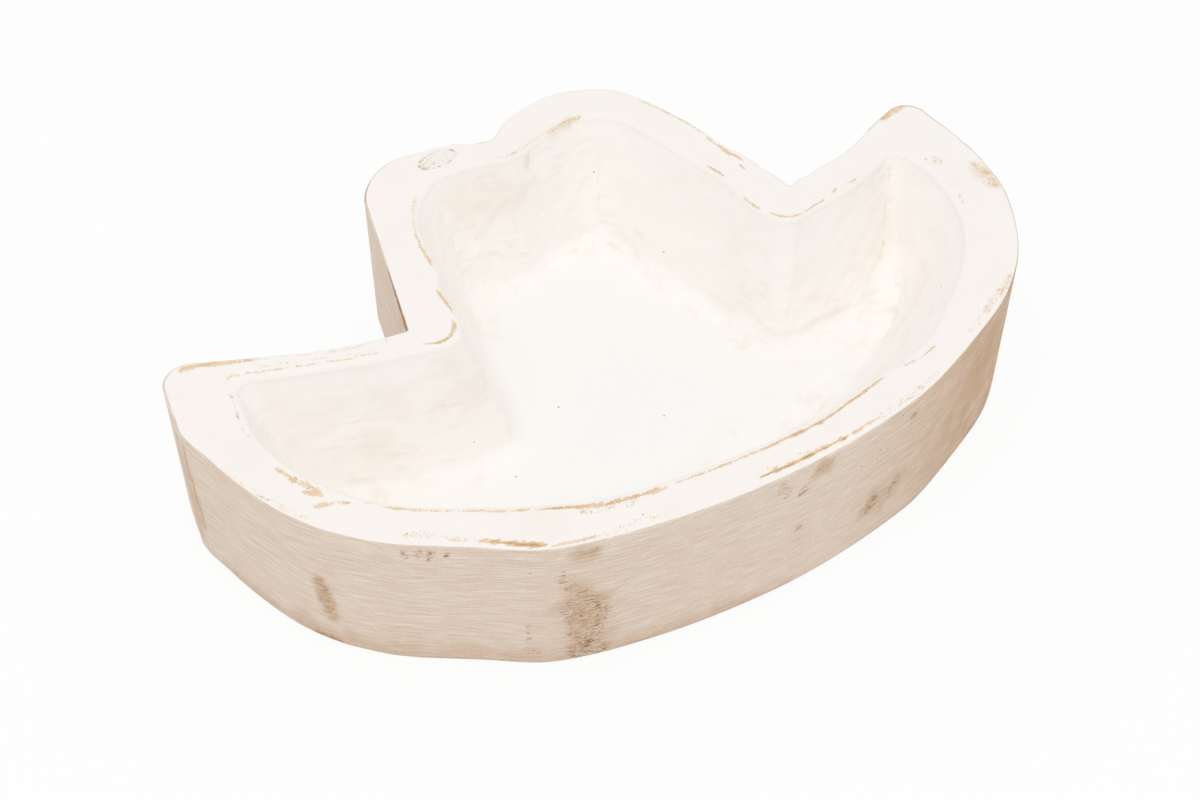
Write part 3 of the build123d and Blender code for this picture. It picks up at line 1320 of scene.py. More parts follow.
@dataclass
class BowlBody:
    """The bowl, carved from one plank. Sizes are in millimetres and angles in degrees."""

    sawn: HatShape = HatShape(
        left_side=33.2, right_side=43.2, end_fullness=0.45, front_fullness=0.70, tip=8.0, notch=1.2,
        left_lobe=27.0, right_lobe=34.0, dent_drop=14.5,
    )
    mouth: HatShape = HatShape(
        left_side=25, right_side=30, end_fullness=0.42, front_fullness=0.68, tip=5.0, notch=6.5,
        left_lobe=21.0, right_lobe=23.0, dent_drop=9.0, front=15.5, left_end=23, right_end=26,
        left_back=12, right_back=16, left_flank=16.5, right_flank=16, crown=18.5,
    )
    floor: HatShape = replace(
        mouth, left_side=8, right_side=8, end_fullness=0.15, front_fullness=0.52, notch=5.0,
        left_lobe=13.0, right_lobe=13.0, dent_drop=7.5,
    )
    floor_thickness: float = 13.5
    wall_lean: float = 20.0
    front_lean: float = 24.0
    floor_round: float = 8.0
    rim_ease: float = 1.2
    mouth_ease: float = 2.2
    foot_ease: float = 2.0
    wash_line: float = 0.1
    wall_steps: int = 20
    rim_steps: int = 20
    hollow_steps: int = 27
    round_steps: int = 11
    ease_steps: int = 6
    grid: float = 4.0
    scoop: Spread = Spread(0, 315, 60, 50)
    scoop_round: float = 18.0
    brim_ends: tuple[tuple[float, float], ...] = ((110, 335), (705, 840))
    end_insets: tuple[float, ...] = (0, 10, 20, 30)
    end_passes: int = 25
    shore_passes: int = 4
    shore_reach: float = 2.0
    relax_above: float = 10.0
    relax_inside: float = 14.0
    shore_fade: float = 8.0
    scoop_fade: float = 14.0
    # partly painted shade: the right-hand stretch of the sawn wall is tinted tan and darker, partly the
    # wood's tan and partly painted shade on that side
    tan_and_shade: Spread = Spread(25, 330, 100, 60)
    tan_and_shade_share: float = 0.95
    knot_gap: float = 0.15
    knot_seat: float = 0.6
    knot_snap: float = 0.045
    knot_reach: float = 1.2
    seat_reach: float = 1.35
    rim_band: float = 6.35
    shortest_edge: float = 0.015
    shelf_width: float = 5.0
    carving: Carving = Carving()
    saw_slips: tuple[Bulge, ...] = (
        Bulge(-142, -60, 48, -2.4),
        Bulge(-75, -101, 34, 1.0),
        Bulge(-167, 4, 12, 0.8),
        Bulge(-165, -13, 34, -3.2),
        Bulge(-153, -32, 28, -1.1),
        Bulge(-140, -56, 22, 0.6),
        Bulge(-106, -87, 30, -2.7),
        Bulge(162, 2, 30, -1.0),
        Bulge(138, 27, 26, 2.2),
        Bulge(165, -8, 26, -1.4),
        Bulge(-130, 26, 45, 1.3),
        Bulge(12, 100, 16, 1.8),
        Bulge(50, 107, 24, -1.5),
        Bulge(89.5, 16.5, 7, -1.0),
        Bulge(93, 16, 5, 0.9),
        Bulge(106, 18, 24, 1.5),
        Bulge(162, 25, 17, -1.3),
        Bulge(100, -89, 34, -1.3),
        Bulge(158, -32, 34, -1.5),
        Bulge(-138, 32, 34, 0.9),
        Bulge(-28, 103.5, 14, -1.1),
        Bulge(-9, 98, 6, -1.2),
        Bulge(64, 91, 14, -1.5),
        Bulge(75, 66, 14, 0.9),
        Bulge(84, 38, 12, 0.9),
    )
    carver_slips: tuple[Bulge, ...] = (
        Bulge(-88, -76, 40, -2.6),
        Bulge(-20, -95, 70, -1.3),
        Bulge(88, -80, 24, 2.2),
        Bulge(52, -91, 20, -1.0),
        Bulge(143, -4, 12, 2.0),
        Bulge(-54, 40, 14, -1.6),
        Bulge(-61, 10, 24, -2.8),
        Bulge(75, 12, 22, -4.0),
        Bulge(-43, 80, 18, -2.8),
        Bulge(18, 91, 30, -2.3),
        Bulge(-108, 11, 32, 1.4),
    )
    rubs: tuple[Rub, ...] = (
        *strokes(1.2, 0.46, ((466, 79.8), (456, 80), (445, 79.8))),
        *strokes(0.8, 0.36, ((495, 78), (486, 79), (473, 79), (465, 79))),
        *strokes(0.7, 0.8, ((499, 64.6), (492, 64.6))),
        *strokes(0.5, 0.3, ((552, 79), (577, 79))),
        *strokes(0.8, 0.85, ((576, 78.6), (591, 79), (598, 79.6))),
        *strokes(0.8, 0.85, ((611, 79.4), (626, 79.6)), ((638, 76.3), (631, 79))),
        *strokes(0.5, 0.6, ((414, 66.2), (400, 65.6), (377, 65.6))),
        *strokes(0.7, 0.75, ((378, 66), (367, 66.6), (358, 67))),
        *strokes(1.0, 0.85, ((369, 66.8), (364, 67.4))),
        *strokes(0.7, 0.8, ((358.5, 69.6), (354.5, 70)), ((371, 78.6), (362, 79))),
        *strokes(0.5, 0.75, ((352, 79.5), (341, 79.8)), ((337, 79.4), (331, 78.6))),
        *strokes(0.7, 0.85, ((330, 78.8), (317, 79.2))),
        *strokes(0.6, 0.55, ((311.5, 77.4), (308.5, 77.4)), ((303, 77.4), (293, 78))),
        *strokes(1.5, 0.6, ((275, 65.2), (269, 65.7), (263, 65.2))),
        *strokes(1.2, 0.36, ((240, 77), (230, 75))),
        *strokes(1.3, 0.5, ((219, 68), (213, 67), (200, 66))),
        *strokes(2.0, 0.28, ((222, 69), (200, 67))),
        *strokes(1.0, 0.4, ((210, 77), (202, 77))),
        *strokes(1.5, 0.3, ((110, 68.6), (125, 68), (138, 66.4))),
        *strokes(1.5, 0.5, ((128, 68.4), (140, 66.8), (148, 66))),
        *strokes(2.2, 0.74, ((718, 66.4), (710, 67), (700, 66.4))),
        *strokes(1.6, 0.56, ((704, 66), (688, 66.2))),
        *strokes(1.5, 0.3, ((680, 66.4), (663, 66.8), (642, 66.4))),
        *strokes(0.7, 0.6, ((720, 77.2), (713, 77.4)), ((710, 76.8), (692, 76.2)), ((689, 76.2), (680, 76.2)),
                 ((677, 76), (665, 76.2)), ((664, 75), (656, 76))),
        *strokes(1.6, 0.26, ((700, 73), (670, 72), (648, 73))),
        *strokes(0.5, 0.42, ((725, 78.6), (744, 78), (764, 78.6))),
        *strokes(1.1, 0.66, ((779, 76.6), (790, 76.8), (801, 77))),
        *strokes(1.5, 0.82, ((798.5, 74.8), (804, 75.8)), ((808, 71.6), (811, 74.2))),
        *strokes(1.2, 0.78, ((811.5, 76), (815, 76.6))),
        *strokes(0.4, 1.2, ((812, 78.6), (838, 78.6), (864, 78.6), (890, 78.8))),
        *strokes(0.4, 1.2, ((888, 78.8), (901, 78.9), (920, 78.4))),
        *strokes(1.0, 0.8, ((901, 78.9), (914, 78.2), (926, 78), (942, 78.2))),
        *strokes(1.6, 0.3, ((905, 76.6), (930, 76))),
        *strokes(0.45, 0.75, ((938, 78.4), (960, 79), (985, 78.7))),
        *strokes(0.6, 1.2, ((982, 78.8), (1007, 78.6), (1031, 78.8))),
        *strokes(0.4, 1.0, ((1026, 78.8), (1048, 78.9), (1060, 78.6))),
        *strokes(0.6, 0.66, ((90, 78.4), (96, 77.4)), ((97, 77), (106, 76.4))),
        Rub(((874, 67.6), (885, 67.2), (897, 66.6)), 0.75, 1.25, 0.8, 2.4),
        *strokes(0.65, 0.66, ((899, 66), (906, 66.4), (914, 66.6))),
        *strokes(1.6, 0.3, ((862, 68), (877, 67.4)), ((912, 66), (938, 68)), ((845, 68.8), (866, 69.6))),
        Rub(((978, 68.6), (990, 68.2), (1006, 68), (1021, 67.4)), 0.7, 1.25, 0.7, 2.6),
        *strokes(0.7, 0.66, ((44, 68), (54, 67.4))),
        *strokes(1.6, 0.3, ((0, 70), (30, 69)), ((52, 67.4), (70, 67.4), (87, 67))),
        *strokes(1.4, 0.27, ((775, 65.8), (792, 65.8), (814, 66.8))),
        *strokes(0.5, 1.1, ((205, 63.9), (245, 63.9)), ((282, 63.9), (332, 63.9)),
                 ((336, 63.9), (408, 63.9), (488, 63.9)), ((490, 63.9), (560, 63.9)),
                 ((600, 63.9), (692, 63.9))),
        *strokes(1.0, 0.72, ((850, 63), (850.5, 57)), ((855, 63), (855, 58)), ((859, 63), (859, 57)),
                 ((865, 63), (865, 60))),
        *strokes(3.0, 0.42, ((817, 37), (819, 27), (820.5, 15))),
        *strokes(1.6, 0.8, ((812, 2.6), (823, 2.6))),
        *strokes(3.4, 0.34, ((903, 52), (906, 42))),
        *strokes(8.0, 0.44, ((911, 38), (911, 22), (911, 8))),
        *strokes(5.0, 0.54, ((903, 8), (919, 5))),
        *strokes(4.0, 0.46, ((906, 28), (917, 25))),
        *strokes(3.0, 0.34, ((907, 61), (915, 60))),
        *strokes(1.5, 0.3, ((891, 26), (891, 12))),
        *strokes(2.0, 0.36, ((888, 9), (895, 9))),
        *strokes(2.2, 0.4, ((7, 61), (7, 55)), ((14, 33), (17, 33))),
        *strokes(2.4, 0.42, ((28, 61), (22, 60)), ((18, 54), (15, 50)), ((11, 58), (8, 54))),
        *strokes(2.6, 0.5, ((52, 26), (50, 17)), ((55, 23), (49, 21))),
        *strokes(2.8, 0.42, ((64, 29), (61, 18)), ((67, 26), (61, 24))),
        *strokes(2.0, 0.62, ((66, 57), (70, 56.5))),
        *strokes(2.0, 0.36, ((30, 1.5), (110, 1.5), (190, 1.5))),
        *strokes(1.0, 0.18, ((338, 127), (333, 129), (324, 129), (290, 131))),
        *strokes(1.4, 0.3, ((264, 118), (268, 126)), ((272, 126), (280, 129))),
    )
    ridges: tuple[Rub, ...] = (
        *strokes(3.2, 0.7, ((334, 82), (334, 100), (334, 122))),
        *strokes(2.0, 0.7, ((522, 113), (511, 105), (503, 100), (491, 96), (478, 96))),
    )
    # stains, and a few strokes of painted shade, each marked where it stands
    stains_and_shade: tuple[Rub, ...] = (
        *strokes(9.0, 0.3, ((530, 90), (519, 97), (488, 98))),
        *strokes(6.0, 0.18, ((665, 90), (666, 106)), ((637, 90), (637, 108)), ((690, 119), (674, 112))),
        # painted shade: darkens the corner of the hollow at the right brim end, which faces up
        *strokes(6.0, 0.2, ((264, 110), (271, 126))),
        *strokes(0.7, 0.55, ((264, 86), (265, 103), (266, 118))),
        *strokes(1.8, 0.9, ((466, 79.8), (456, 80), (445, 79.8))),
        *strokes(0.9, 0.45, ((548, 79), (577, 79)), ((495, 78), (486, 79), (465, 79))),
        *strokes(1.6, 0.7, ((480, 84), (481, 89))),
        *strokes(5.0, 0.16, ((884, 76), (902, 71))),
        *strokes(2.4, 0.7, ((219, 68), (213, 67), (201, 66))),
        *strokes(1.7, 0.8, ((275, 65.2), (269, 65.7), (263, 65.2)), ((718, 66.4), (710, 67), (698, 66.4))),
        # the second stroke is a painted shadow line along the lower end of a gouge ridge
        *strokes(0.6, 0.4, ((432, 103), (430, 124)), ((514, 107), (522, 112))),
        *strokes(1.6, 0.3, ((345, 125), (338, 127), (333, 129), (324, 129), (290, 131))),
        *strokes(1.0, 0.4, ((456, 137), (450, 138)), ((420, 135), (404, 135))),
        Rub(((752, 62), (753, 48), (754.5, 34), (756, 18)), 1.0, 1.0, 0.1),
        # painted shade on the side facet of the left brim end, beside its corner line
        *strokes(6.0, 0.6, ((745, 55), (750, 10))),
        *strokes(9.0, 0.55, ((908, 40), (911, 24), (911, 8))),
        *strokes(3.4, 0.7, ((817, 37), (819, 27), (820.5, 15))),
        *strokes(3.6, 0.65, ((907, 60), (915, 59)), ((28, 61), (20, 58))),
        *strokes(8.0, 0.6, ((48, 19), (57, 22), (66, 26))),
        *strokes(6.0, 0.45, ((765, 4), (800, 4), (840, 4), (990, 2))),
    )

    def __post_init__(self) -> None:
        """Reads the plank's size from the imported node."""
        low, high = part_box("bowl_body")
        size = (high - low) / MM
        self.plank = Plank(span=size.x, depth=size.y, height=size.z)
        self.knot = Oval.packed()

    def hollow_loop(self, level: float, run: float) -> list[Vector]:
        """Loop of the hollow.

        Args:
            level: its level
            run: how far it is moved in from the mouth

        Returns:
            The points around it.
        """
        drop = self.plank.height - self.floor_thickness
        shape = self.mouth.towards(self.floor, (self.plank.height - level) / drop)
        spread = math.tan(math.radians(self.front_lean)) / math.tan(math.radians(self.wall_lean))
        return nudged(shape.moved_in(run, run * spread).loop(self.plank), self.carver_slips)

    def sawn_loop(self, inset: float) -> list[Vector]:
        """Loop of the sawn wall, moved in by a distance."""
        return nudged(self.sawn.moved_in(inset, inset).loop(self.plank), self.saw_slips)

    def stations(self, floor_round: float) -> list[Station]:
        """Rings of the profile, from the underside over the rim to the floor.

        Args:
            floor_round: radius between the hollow's wall and its floor

        Returns:
            The rings, in order.
        """
        height = self.plank.height
        top, lip_level = height - self.rim_ease, height - self.mouth_ease
        lean, bend = math.tan(math.radians(self.wall_lean)), math.radians(90 - self.wall_lean)
        foot, wall, crest = (self.sawn_loop(inset) for inset in (self.foot_ease, 0.0, self.rim_ease))
        brow = self.hollow_loop(height, -self.mouth_ease)
        lip = self.hollow_loop(lip_level, self.mouth_ease * lean)
        spring_level = self.floor_thickness + floor_round * (1 - math.cos(bend))
        spring_run = (height - spring_level) * lean
        turns = [math.pi / 2 * k / self.ease_steps for k in range(self.ease_steps)]
        rings: list[Station] = []

        def add(loop: list[Vector], level: float, part: Region) -> None:
            """Adds a ring."""
            rings.append(Station(loop, level, part))

        for turn in turns:
            add(between(foot, wall, math.sin(turn)), self.foot_ease * (1 - math.cos(turn)), Region.FOOT)
        for k in range(self.wall_steps):
            add(wall, self.foot_ease + (top - self.foot_ease) * k / self.wall_steps, Region.WALL)
        for turn in turns:
            add(between(wall, crest, 1 - math.cos(turn)), top + self.rim_ease * math.sin(turn), Region.ARRIS)
        for k in range(self.rim_steps):
            add(between(crest, brow, k / self.rim_steps), height, Region.RIM)
        for turn in turns:
            level = height - self.mouth_ease * (1 - math.cos(turn))
            add(between(brow, lip, math.sin(turn)), level, Region.LIP)
        for k in range(self.hollow_steps):
            level = lip_level + (spring_level - lip_level) * k / self.hollow_steps
            add(self.hollow_loop(level, (height - level) * lean), level, Region.HOLLOW)
        for k in range(self.round_steps + 1):
            angle = bend * (1 - k / self.round_steps)
            level = self.floor_thickness + floor_round * (1 - math.cos(angle))
            run = spring_run + floor_round * (math.sin(bend) - math.sin(angle))
            add(self.hollow_loop(level, run), level, Region.ROUND)
        return rings

    def build(self, material: bpy.types.Material) -> bpy.types.Object:
        """Makes the bowl.

        Args:
            material: its finish

        Returns:
            The finished piece.
        """
        bm = bmesh.new()
        self.sweep(bm, self.stations(self.floor_round), self.stations(self.scoop_round))
        self.relax(bm)
        self.mark(bm)
        self.carve(bm)
        self.seat_knot(bm)
        piece = piece_from(bm, "carved_bowl", material)
        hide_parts("bowl_body")
        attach(piece, BODY)
        return piece

    def sweep(self, bm: BMesh, rings: list[Station], scooped: list[Station]) -> None:
        """Extrudes a ring along the profile and closes both ends.

        Args:
            bm: the bmesh
            rings: rings of the profile
            scooped: the same rings where the floor's edge is scooped out
        """
        layers = bm.verts.layers
        around, profile = layers.float.new("around"), layers.float.new("profile")
        region, out = layers.int.new("region"), layers.float_vector.new("out")
        wall = self.sawn.loop(self.plank)
        travel = travel_along(wall)
        self.girth = travel[-1] + (wall[0] - wall[-1]).length
        shares = [self.scoop.share(along) for along in travel]

        def settle(verts: list[BMVert], station: Station, scoop: Station, distance: float) -> None:
            """Puts the vertices of a ring in place.

            Args:
                verts: the vertices
                station: where they go
                scoop: where they go in the scoop
                distance: their distance along the profile
            """
            loop = [a.lerp(b, share) for a, b, share in zip(station.loop, scoop.loop, shares)]
            before = loop[-TANGENT_STEPS:] + loop[:-TANGENT_STEPS]
            after = loop[TANGENT_STEPS:] + loop[:TANGENT_STEPS]
            for vert, point, along, a, b, share in zip(verts, loop, travel, before, after, shares):
                level = station.level + share * (scoop.level - station.level)
                vert.co = Vector((point.x, point.y, level)) * MM
                vert[around], vert[profile], vert[region] = along, distance, station.region
                vert[out] = Vector((b.y - a.y, a.x - b.x, 0.0)).normalized()

        def loop_edges(verts: list[BMVert]) -> list[bmesh.types.BMEdge]:
            """Edges around a ring."""
            return [bm.edges.get((a, b)) for a, b in zip(verts, verts[1:] + verts[:1])]

        ring = bmesh.ops.create_circle(bm, cap_ends=False, radius=1.0, segments=len(wall))["verts"]
        distance, self.starts = 0.0, {}
        settle(ring, rings[0], scooped[0], distance)
        first = loop_edges(ring)
        for before, station, scoop in zip(rings, rings[1:], scooped[1:]):
            grown = bmesh.ops.extrude_edge_only(bm, edges=loop_edges(ring))["geom"]
            fresh = {item for item in grown if isinstance(item, BMVert)}
            ring = [next(o for o in (e.other_vert(v) for e in v.link_edges) if o in fresh) for v in ring]
            step = station.loop[0] - before.loop[0]
            distance += math.hypot(step.length, station.level - before.level)
            if station.region != before.region:
                self.starts[station.region] = distance
            settle(ring, station, scoop, distance)
        for edges, part in ((first, Region.UNDERSIDE), (loop_edges(ring), Region.FLOOR)):
            known = set(bm.verts)
            face = bmesh.ops.edgeloop_fill(bm, edges=edges)["faces"][0]
            if part == Region.FLOOR:
                cut_grid(bm, face, self.grid * MM)
            shore = KDTree(len(ring))
            for k, vert in enumerate(ring):
                shore.insert(vert.co, k)
            shore.balance()
            for vert in bm.verts:
                if vert not in known:
                    _, k, gap = shore.find(vert.co)
                    vert[around], vert[profile], vert[region] = travel[k], distance + gap / MM, part
        self.starts[Region.FLOOR] = distance
        bmesh.ops.recalc_face_normals(bm, faces=bm.faces)

    @staticmethod
    def unrolled(bm: BMesh) -> tuple[bmesh.types.BMLayerItem, ...]:
        """Layers that tell where a vertex lies on the unrolled surface.

        Args:
            bm: the bmesh

        Returns:
            Distance around the bowl, distance along the profile, and part of the surface.
        """
        layers = bm.verts.layers
        return layers.float["around"], layers.float["profile"], layers.int["region"]

    def relax(self, bm: BMesh) -> None:
        """Softens the turn from the hollow's wall to its floor, most of all at the ends of the brim.

        Args:
            bm: the bmesh
        """
        around, profile, region = self.unrolled(bm)
        edge = self.starts[Region.FLOOR]
        lowest, highest = self.starts[Region.ROUND] - self.relax_above, edge + self.relax_inside
        low = [v for v in bm.verts if v[region] >= Region.HOLLOW and lowest < v[profile] < highest]
        rounds = [([v for v in low if v[profile] > edge - self.shore_reach], self.shore_passes)]
        for inset in self.end_insets:
            ends = [v for v in low if any(a + inset < v[around] < b - inset for a, b in self.brim_ends)]
            rounds.append((ends, self.end_passes))
        axes = {"use_axis_" + axis: True for axis in "xyz"}
        for verts, passes in rounds:
            for _ in range(passes):
                bmesh.ops.smooth_vert(bm, verts=verts, factor=0.5, **axes)

    def carve(self, bm: BMesh) -> None:
        """Gives the smooth surface its tool marks.

        Args:
            bm: the bmesh
        """
        around, profile, region = self.unrolled(bm)
        layers = bm.verts.layers
        out, wear, ridge = layers.float_vector["out"], layers.float["wear"], layers.float["ridge"]
        marks = self.carving
        bm.normal_update()
        moves = []
        for vert in bm.verts:
            along, across, part = vert[around], vert[profile], Region(vert[region])
            lift = self.relief(vert.co / MM, along, across, part) + vert[ridge]
            lift -= marks.chip * smooth(vert[wear])
            way = Vector(vert[out]) if part <= Region.ARRIS else vert.normal
            sway = smooth(1 - abs(across - self.starts[Region.LIP]) / marks.lip_reach)
            if sway > 0:
                wave = marks.wave(marks.lip_length, marks.lip_seed)
                sway *= marks.lip_wave * marks.around(wave, along, self.girth)
            moves.append((way * lift + Vector(vert[out]) * sway) * MM)
        for vert, move in zip(bm.verts, moves):
            vert.co += move
        layers.float_vector.remove(out)
        bm.normal_update()

    def seat_knot(self, bm: BMesh) -> None:
        """Lowers the rim under the knot, with a narrow slit around it.

        Args:
            bm: the bmesh
        """
        oval, top = self.knot, (self.plank.height - self.rim_band) * MM

        def inside(co: Vector, reach: float) -> bool:
            """Whether a point of the rim lies within a multiple of the oval."""
            return co.z > top and oval.local(co.x / MM, co.y / MM).length < reach

        faces = [f for f in bm.faces if inside(f.calc_center_median(), self.seat_reach)]
        edges = list({e for f in faces for e in f.edges})
        bmesh.ops.subdivide_edges(bm, edges=edges, cuts=2, use_grid_fill=True)
        brink = 1 + 2 * self.knot_gap / oval.width
        for vert in [v for v in bm.verts if inside(v.co, self.knot_reach)]:
            place = oval.local(vert.co.x / MM, vert.co.y / MM)
            if abs(place.length - brink) < self.knot_snap:
                vert.co.xy = oval.spot(place.normalized() * brink) * MM
            elif place.length < brink:
                vert.co.z = (self.plank.height - self.knot_seat) * MM
        seat = [e for e in bm.edges if all(inside(v.co, self.seat_reach) for v in e.verts)]
        bmesh.ops.dissolve_degenerate(bm, dist=self.shortest_edge * MM, edges=seat)
        bm.normal_update()

    def relief(self, point: Vector, along: float, across: float, part: Region) -> float:
        """Height of the tool marks at a point.

        Args:
            point: the point, in millimetres
            along: distance around the bowl
            across: distance along the profile
            part: part of the surface

        Returns:
            How far the surface moves out, in millimetres.
        """
        marks = self.carving
        if part in (Region.WALL, Region.ARRIS, Region.FOOT):
            sawn = marks.around(marks.wave(marks.saw_length, marks.saw_seed), along, self.girth)
            arris, rim = self.starts[Region.ARRIS], self.starts[Region.RIM]
            return marks.saw_wave * sawn * smooth((rim - across) / (rim - arris))
        if part == Region.RIM:
            calm = smooth((self.knot.local(point.x, point.y).length - marks.knot_calm) / marks.knot_fade)
            return calm * marks.rim_wave * noise.noise(point / marks.rim_length)
        if part == Region.LIP:
            return 0.0
        start, end = self.starts[Region.ROUND], self.starts[Region.FLOOR]
        floor = marks.floor_depth * marks.gouge(point.x * marks.floor_stretch, point.y * marks.floor_stretch)
        low = smooth((across - start) / (end - start))
        calm = smooth((across - self.starts[Region.HOLLOW]) / marks.lip_reach)
        cut = marks.gouge_depth * marks.around(lambda u: marks.gouge(u, across), along, self.girth)
        return calm * (1 - low) * cut + low * floor

    def mark(self, bm: BMesh) -> None:
        """Writes where the wash is thin, rubbed off or stained, and where shade is painted.

        Args:
            bm: the bmesh
        """
        around, profile, region = self.unrolled(bm)
        names = ("wear", "stain_and_shade", "ridge", "thin", "inner")
        wear, stain_and_shade, ridge, thin, inner = (bm.verts.layers.float.new(name) for name in names)
        edges = {Region.ARRIS: 0.12, Region.LIP: 0.15, Region.FOOT: 0.3}
        depths = {Region.HOLLOW: 0.5, Region.ROUND: 0.75, Region.FLOOR: 0.75}
        for vert in bm.verts:
            part = Region(vert[region])
            vert[wear] = edges.get(part, 0.0)
            vert[thin] = float(part <= Region.ARRIS and vert.co.z / MM < self.plank.height - self.wash_line)
            vert[inner] = depths.get(part, 0.0)
            if part == Region.FLOOR:
                fade = self.shore_fade + self.scoop_fade * self.scoop.share(vert[around])
                vert[inner] += (1 - depths[part]) * smooth((vert[profile] - self.starts[part]) / fade)
            # the right-hand stretch of the sawn wall gets a tan tint that is partly painted shade
            if part <= Region.ARRIS:
                vert[stain_and_shade] = self.tan_and_shade_share * self.tan_and_shade.share(vert[around])
        for layer, rubs in ((wear, self.rubs), (stain_and_shade, self.stains_and_shade), (ridge, self.ridges)):
            self.paint(bm, layer, rubs)

    def paint(self, bm: BMesh, layer: bmesh.types.BMLayerItem, rubs: tuple[Rub, ...]) -> None:
        """Writes strokes into a layer, where the strongest one holds.

        Args:
            bm: the bmesh
            layer: layer of the vertices
            rubs: the strokes
        """
        around, profile, region = self.unrolled(bm)
        laps = int(self.girth / self.shelf_width)
        shelf = self.girth / laps
        shelves: list[list[BMVert]] = [[] for _ in range(laps)]
        for vert in bm.verts:
            shelves[min(int(vert[around] / shelf), laps - 1)].append(vert)
        for rub in rubs:
            low, high = rub.reach
            on_wall = rub.points[0][1] < self.starts[Region.ARRIS]
            for k in range(math.floor(low / shelf), math.floor(high / shelf) + 1):
                lap = k // laps * self.girth
                for vert in shelves[k % laps]:
                    if on_wall and vert[region] > Region.ARRIS:
                        continue
                    vert[layer] = max(vert[layer], rub.amount(vert[around] + lap, vert[profile]))


@dataclass
class RimKnot:
    """The knot of branch wood in the rim. Sizes are in millimetres.

    Each ring gives its share of the oval, how deep it lies and how worn it is.
    """

    segments: int = 72
    proud: float = 0.05
    overlap: float = 1.04
    rings: tuple[Triple, ...] = (
        (1.0, 0.05, 0.30), (0.96, 0.03, 0.50), (0.90, 0.06, 0.56), (0.84, 0.02, 0.34), (0.74, 0.04, 0.16),
        (0.62, 0.0, 0.14), (0.52, 0.05, 0.36), (0.44, 0.0, 0.14), (0.30, 0.03, 0.05), (0.15, 0.0, 0.05),
    )
    side_wear: float = 0.6
    mean_wear: float = 0.8
    left_wear: float = 0.25
    patchy_wear: float = 1.1
    patch_rate: float = 3.4
    patch_seed: float = 0.4
    heart: tuple[float, float] = (-0.52, -0.12)
    heart_size: float = 0.30
    heart_wear: float = 0.5
    heart_core: float = 1.3
    heart_line: float = 0.08

    def build(self, material: bpy.types.Material) -> bpy.types.Object:
        """Makes the knot as an oval plug with shallow rings on its top.

        Args:
            material: its finish

        Returns:
            The finished piece.
        """
        low, high = (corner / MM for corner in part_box("rim_knot"))
        oval = Oval.packed()
        bm = bmesh.new()
        wear = bm.verts.layers.float.new("wear")
        bmesh.ops.create_circle(bm, cap_ends=True, radius=1.0, segments=self.segments)
        for vert in bm.verts:
            vert[wear] = self.side_wear
        grown = bmesh.ops.extrude_face_region(bm, geom=bm.faces[:])["geom"]
        face = [item for item in grown if isinstance(item, bmesh.types.BMFace)]
        for scale, drop, worn in self.rings:
            if scale < 1:
                face = bmesh.ops.extrude_discrete_faces(bm, faces=face)["faces"]
            for vert in face[0].verts:
                place = vert.co.xy.normalized() * scale * self.overlap
                vert.co = Vector((place.x, place.y, high.z + self.proud - drop))
                vert[wear] = self.worn(place, worn)
        for vert in bm.verts:
            spot = oval.spot(vert.co.xy)
            vert.co = Vector((spot.x, spot.y, max(vert.co.z, low.z))) * MM
        piece = piece_from(bm, "rim_knot_plug", material)
        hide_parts("rim_knot")
        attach(piece, BODY)
        return piece

    def worn(self, place: Vector, ring_wear: float) -> float:
        """How far the wash is rubbed off.

        Args:
            place: place within the oval
            ring_wear: how worn its ring is

        Returns:
            A share, which can pass 1.
        """
        angle = math.atan2(place.y, place.x)
        way = Vector((math.cos(angle), math.sin(angle), self.patch_seed))
        uneven = self.mean_wear - self.left_wear * math.cos(angle)
        uneven += self.patchy_wear * noise.noise(way * self.patch_rate)
        gap = abs((place - Vector(self.heart)).length - self.heart_size)
        heart = self.heart_wear * smooth(self.heart_core - gap / self.heart_line)
        return max(ring_wear * uneven, heart)


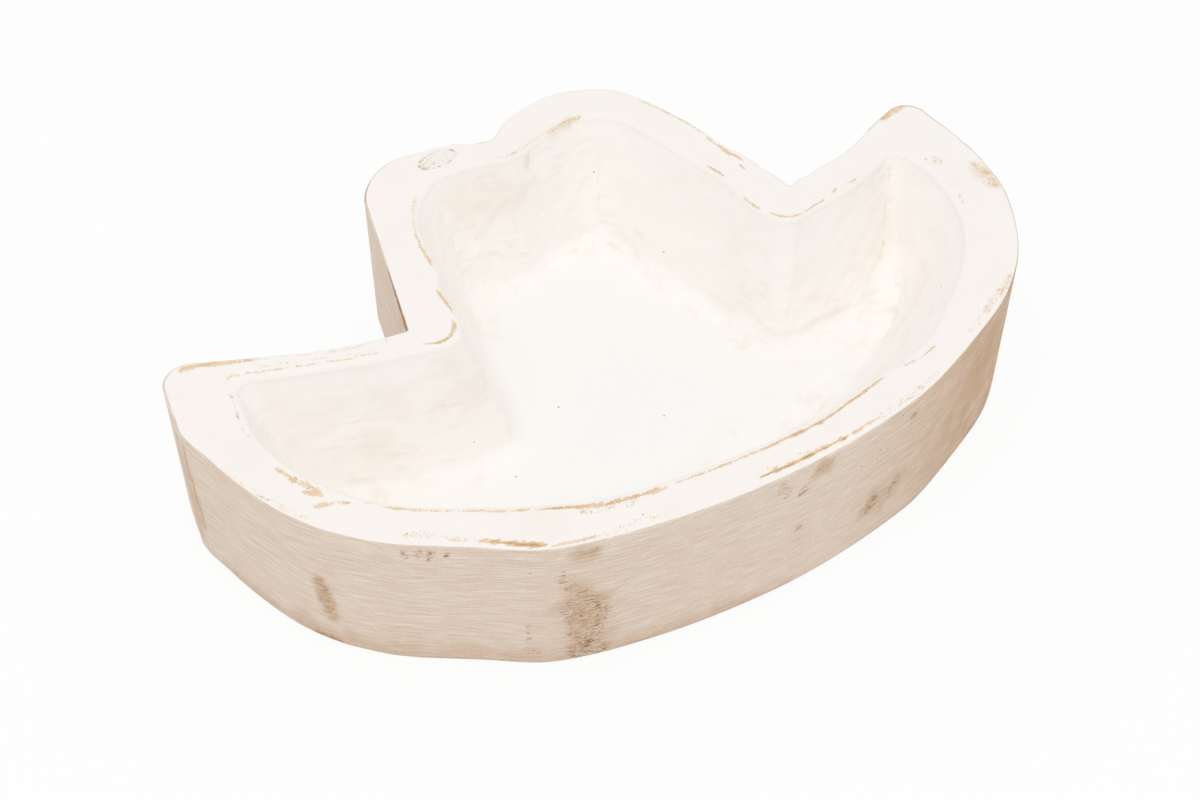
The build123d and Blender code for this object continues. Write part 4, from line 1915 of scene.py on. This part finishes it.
@dataclass
class Studio:
    """Floor, light and camera, in metres and degrees."""

    floor_radius: float = 3.0
    floor_segments: int = 96
    floor_colour: Colour = srgb(248, 248, 247)
    floor_glow: float = 0.9
    sky: float = 0.784
    sky_colour: Colour = (1.0, 1.0, 1.0, 1.0)
    lamp_power: float = 8.2
    lamp_size: float = 2.2
    lamp_place: Triple = (-0.3, -0.4, 1.75)
    lens: float = 58.97
    sensor: float = 36.0
    eye: Triple = (-0.2596, -0.4601, 0.5675)
    tilt: float = 43.0
    heading: float = -29.03

    def build(self) -> None:
        """Sets up the whole stage."""
        bpy.context.scene.view_settings.view_transform = "Standard"
        self.lay_floor()
        self.hang_light()
        self.paint_sky()
        self.set_camera()

    def lay_floor(self) -> None:
        """Lays a pale floor that keeps the bowl's shadow."""
        material, tree = fresh_material("pale_floor")
        matte = tree.add("ShaderNodeBsdfDiffuse")
        matte.inputs["Color"].default_value = self.floor_colour
        glow = tree.add("ShaderNodeEmission")
        mix = tree.add("ShaderNodeMixShader")
        tree.feed(mix.inputs[0], tree.times(tree.seen(), self.floor_glow))
        tree.feed(mix.inputs[1], matte.outputs[0])
        tree.feed(mix.inputs[2], glow.outputs[0])
        tree.feed(tree.add("ShaderNodeOutputMaterial").inputs["Surface"], mix.outputs[0])
        bm = bmesh.new()
        bmesh.ops.create_circle(bm, cap_ends=True, radius=self.floor_radius, segments=self.floor_segments)
        piece_from(bm, "pale_floor", material)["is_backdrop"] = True

    def hang_light(self) -> None:
        """Hangs a large soft lamp over the bowl."""
        lamp = bpy.data.lights.new("soft_lamp", "AREA")
        lamp.shape = "DISK"
        lamp.size = self.lamp_size
        lamp.energy = self.lamp_power
        holder = shown("soft_lamp", lamp)
        holder.location = self.lamp_place
        holder.rotation_euler = (-Vector(self.lamp_place)).to_track_quat("-Z", "Y").to_euler()

    def paint_sky(self) -> None:
        """Makes the world white to the camera and a plain soft light for the rest."""
        world = bpy.data.worlds.new("studio")
        world.use_nodes = True
        tree = Tree(world.node_tree)
        sky = tree.add("ShaderNodeBackground")
        sky.inputs["Color"].default_value = self.sky_colour
        tree.feed(sky.inputs["Strength"], tree.span(tree.seen(), 0.0, 1.0, self.sky, 1.0))
        tree.feed(tree.add("ShaderNodeOutputWorld").inputs["Surface"], sky.outputs[0])
        bpy.context.scene.world = world

    def set_camera(self) -> None:
        """Puts the camera where the photograph was taken from."""
        camera = bpy.data.cameras.new("camera")
        camera.lens = self.lens
        camera.sensor_width = self.sensor
        holder = shown("camera", camera)
        holder.location = self.eye
        holder.rotation_euler = (math.radians(self.tilt), 0.0, math.radians(self.heading))
        bpy.context.scene.camera = holder


def write_sizes() -> None:
    """Collects the CAD box and the visual model's box into a table that is not kept."""
    boxes = {"cad": cad_box, "visual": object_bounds()}
    {name: [list(corner) for corner in box] for name, box in boxes.items()}


def main() -> None:
    """Builds the bowl and its stage, and reports each piece."""
    logging.basicConfig(level=logging.INFO, format="%(name)s: %(message)s")
    effects = Effects()
    Studio().build()
    for piece in (BowlBody().build(WashFinish().make(effects)), RimKnot().build(KnotFinish().make(effects))):
        LOG.info("%s: %d faces", piece.name, len(piece.data.polygons))
    write_sizes()


if __name__ == "__main__":
    main()
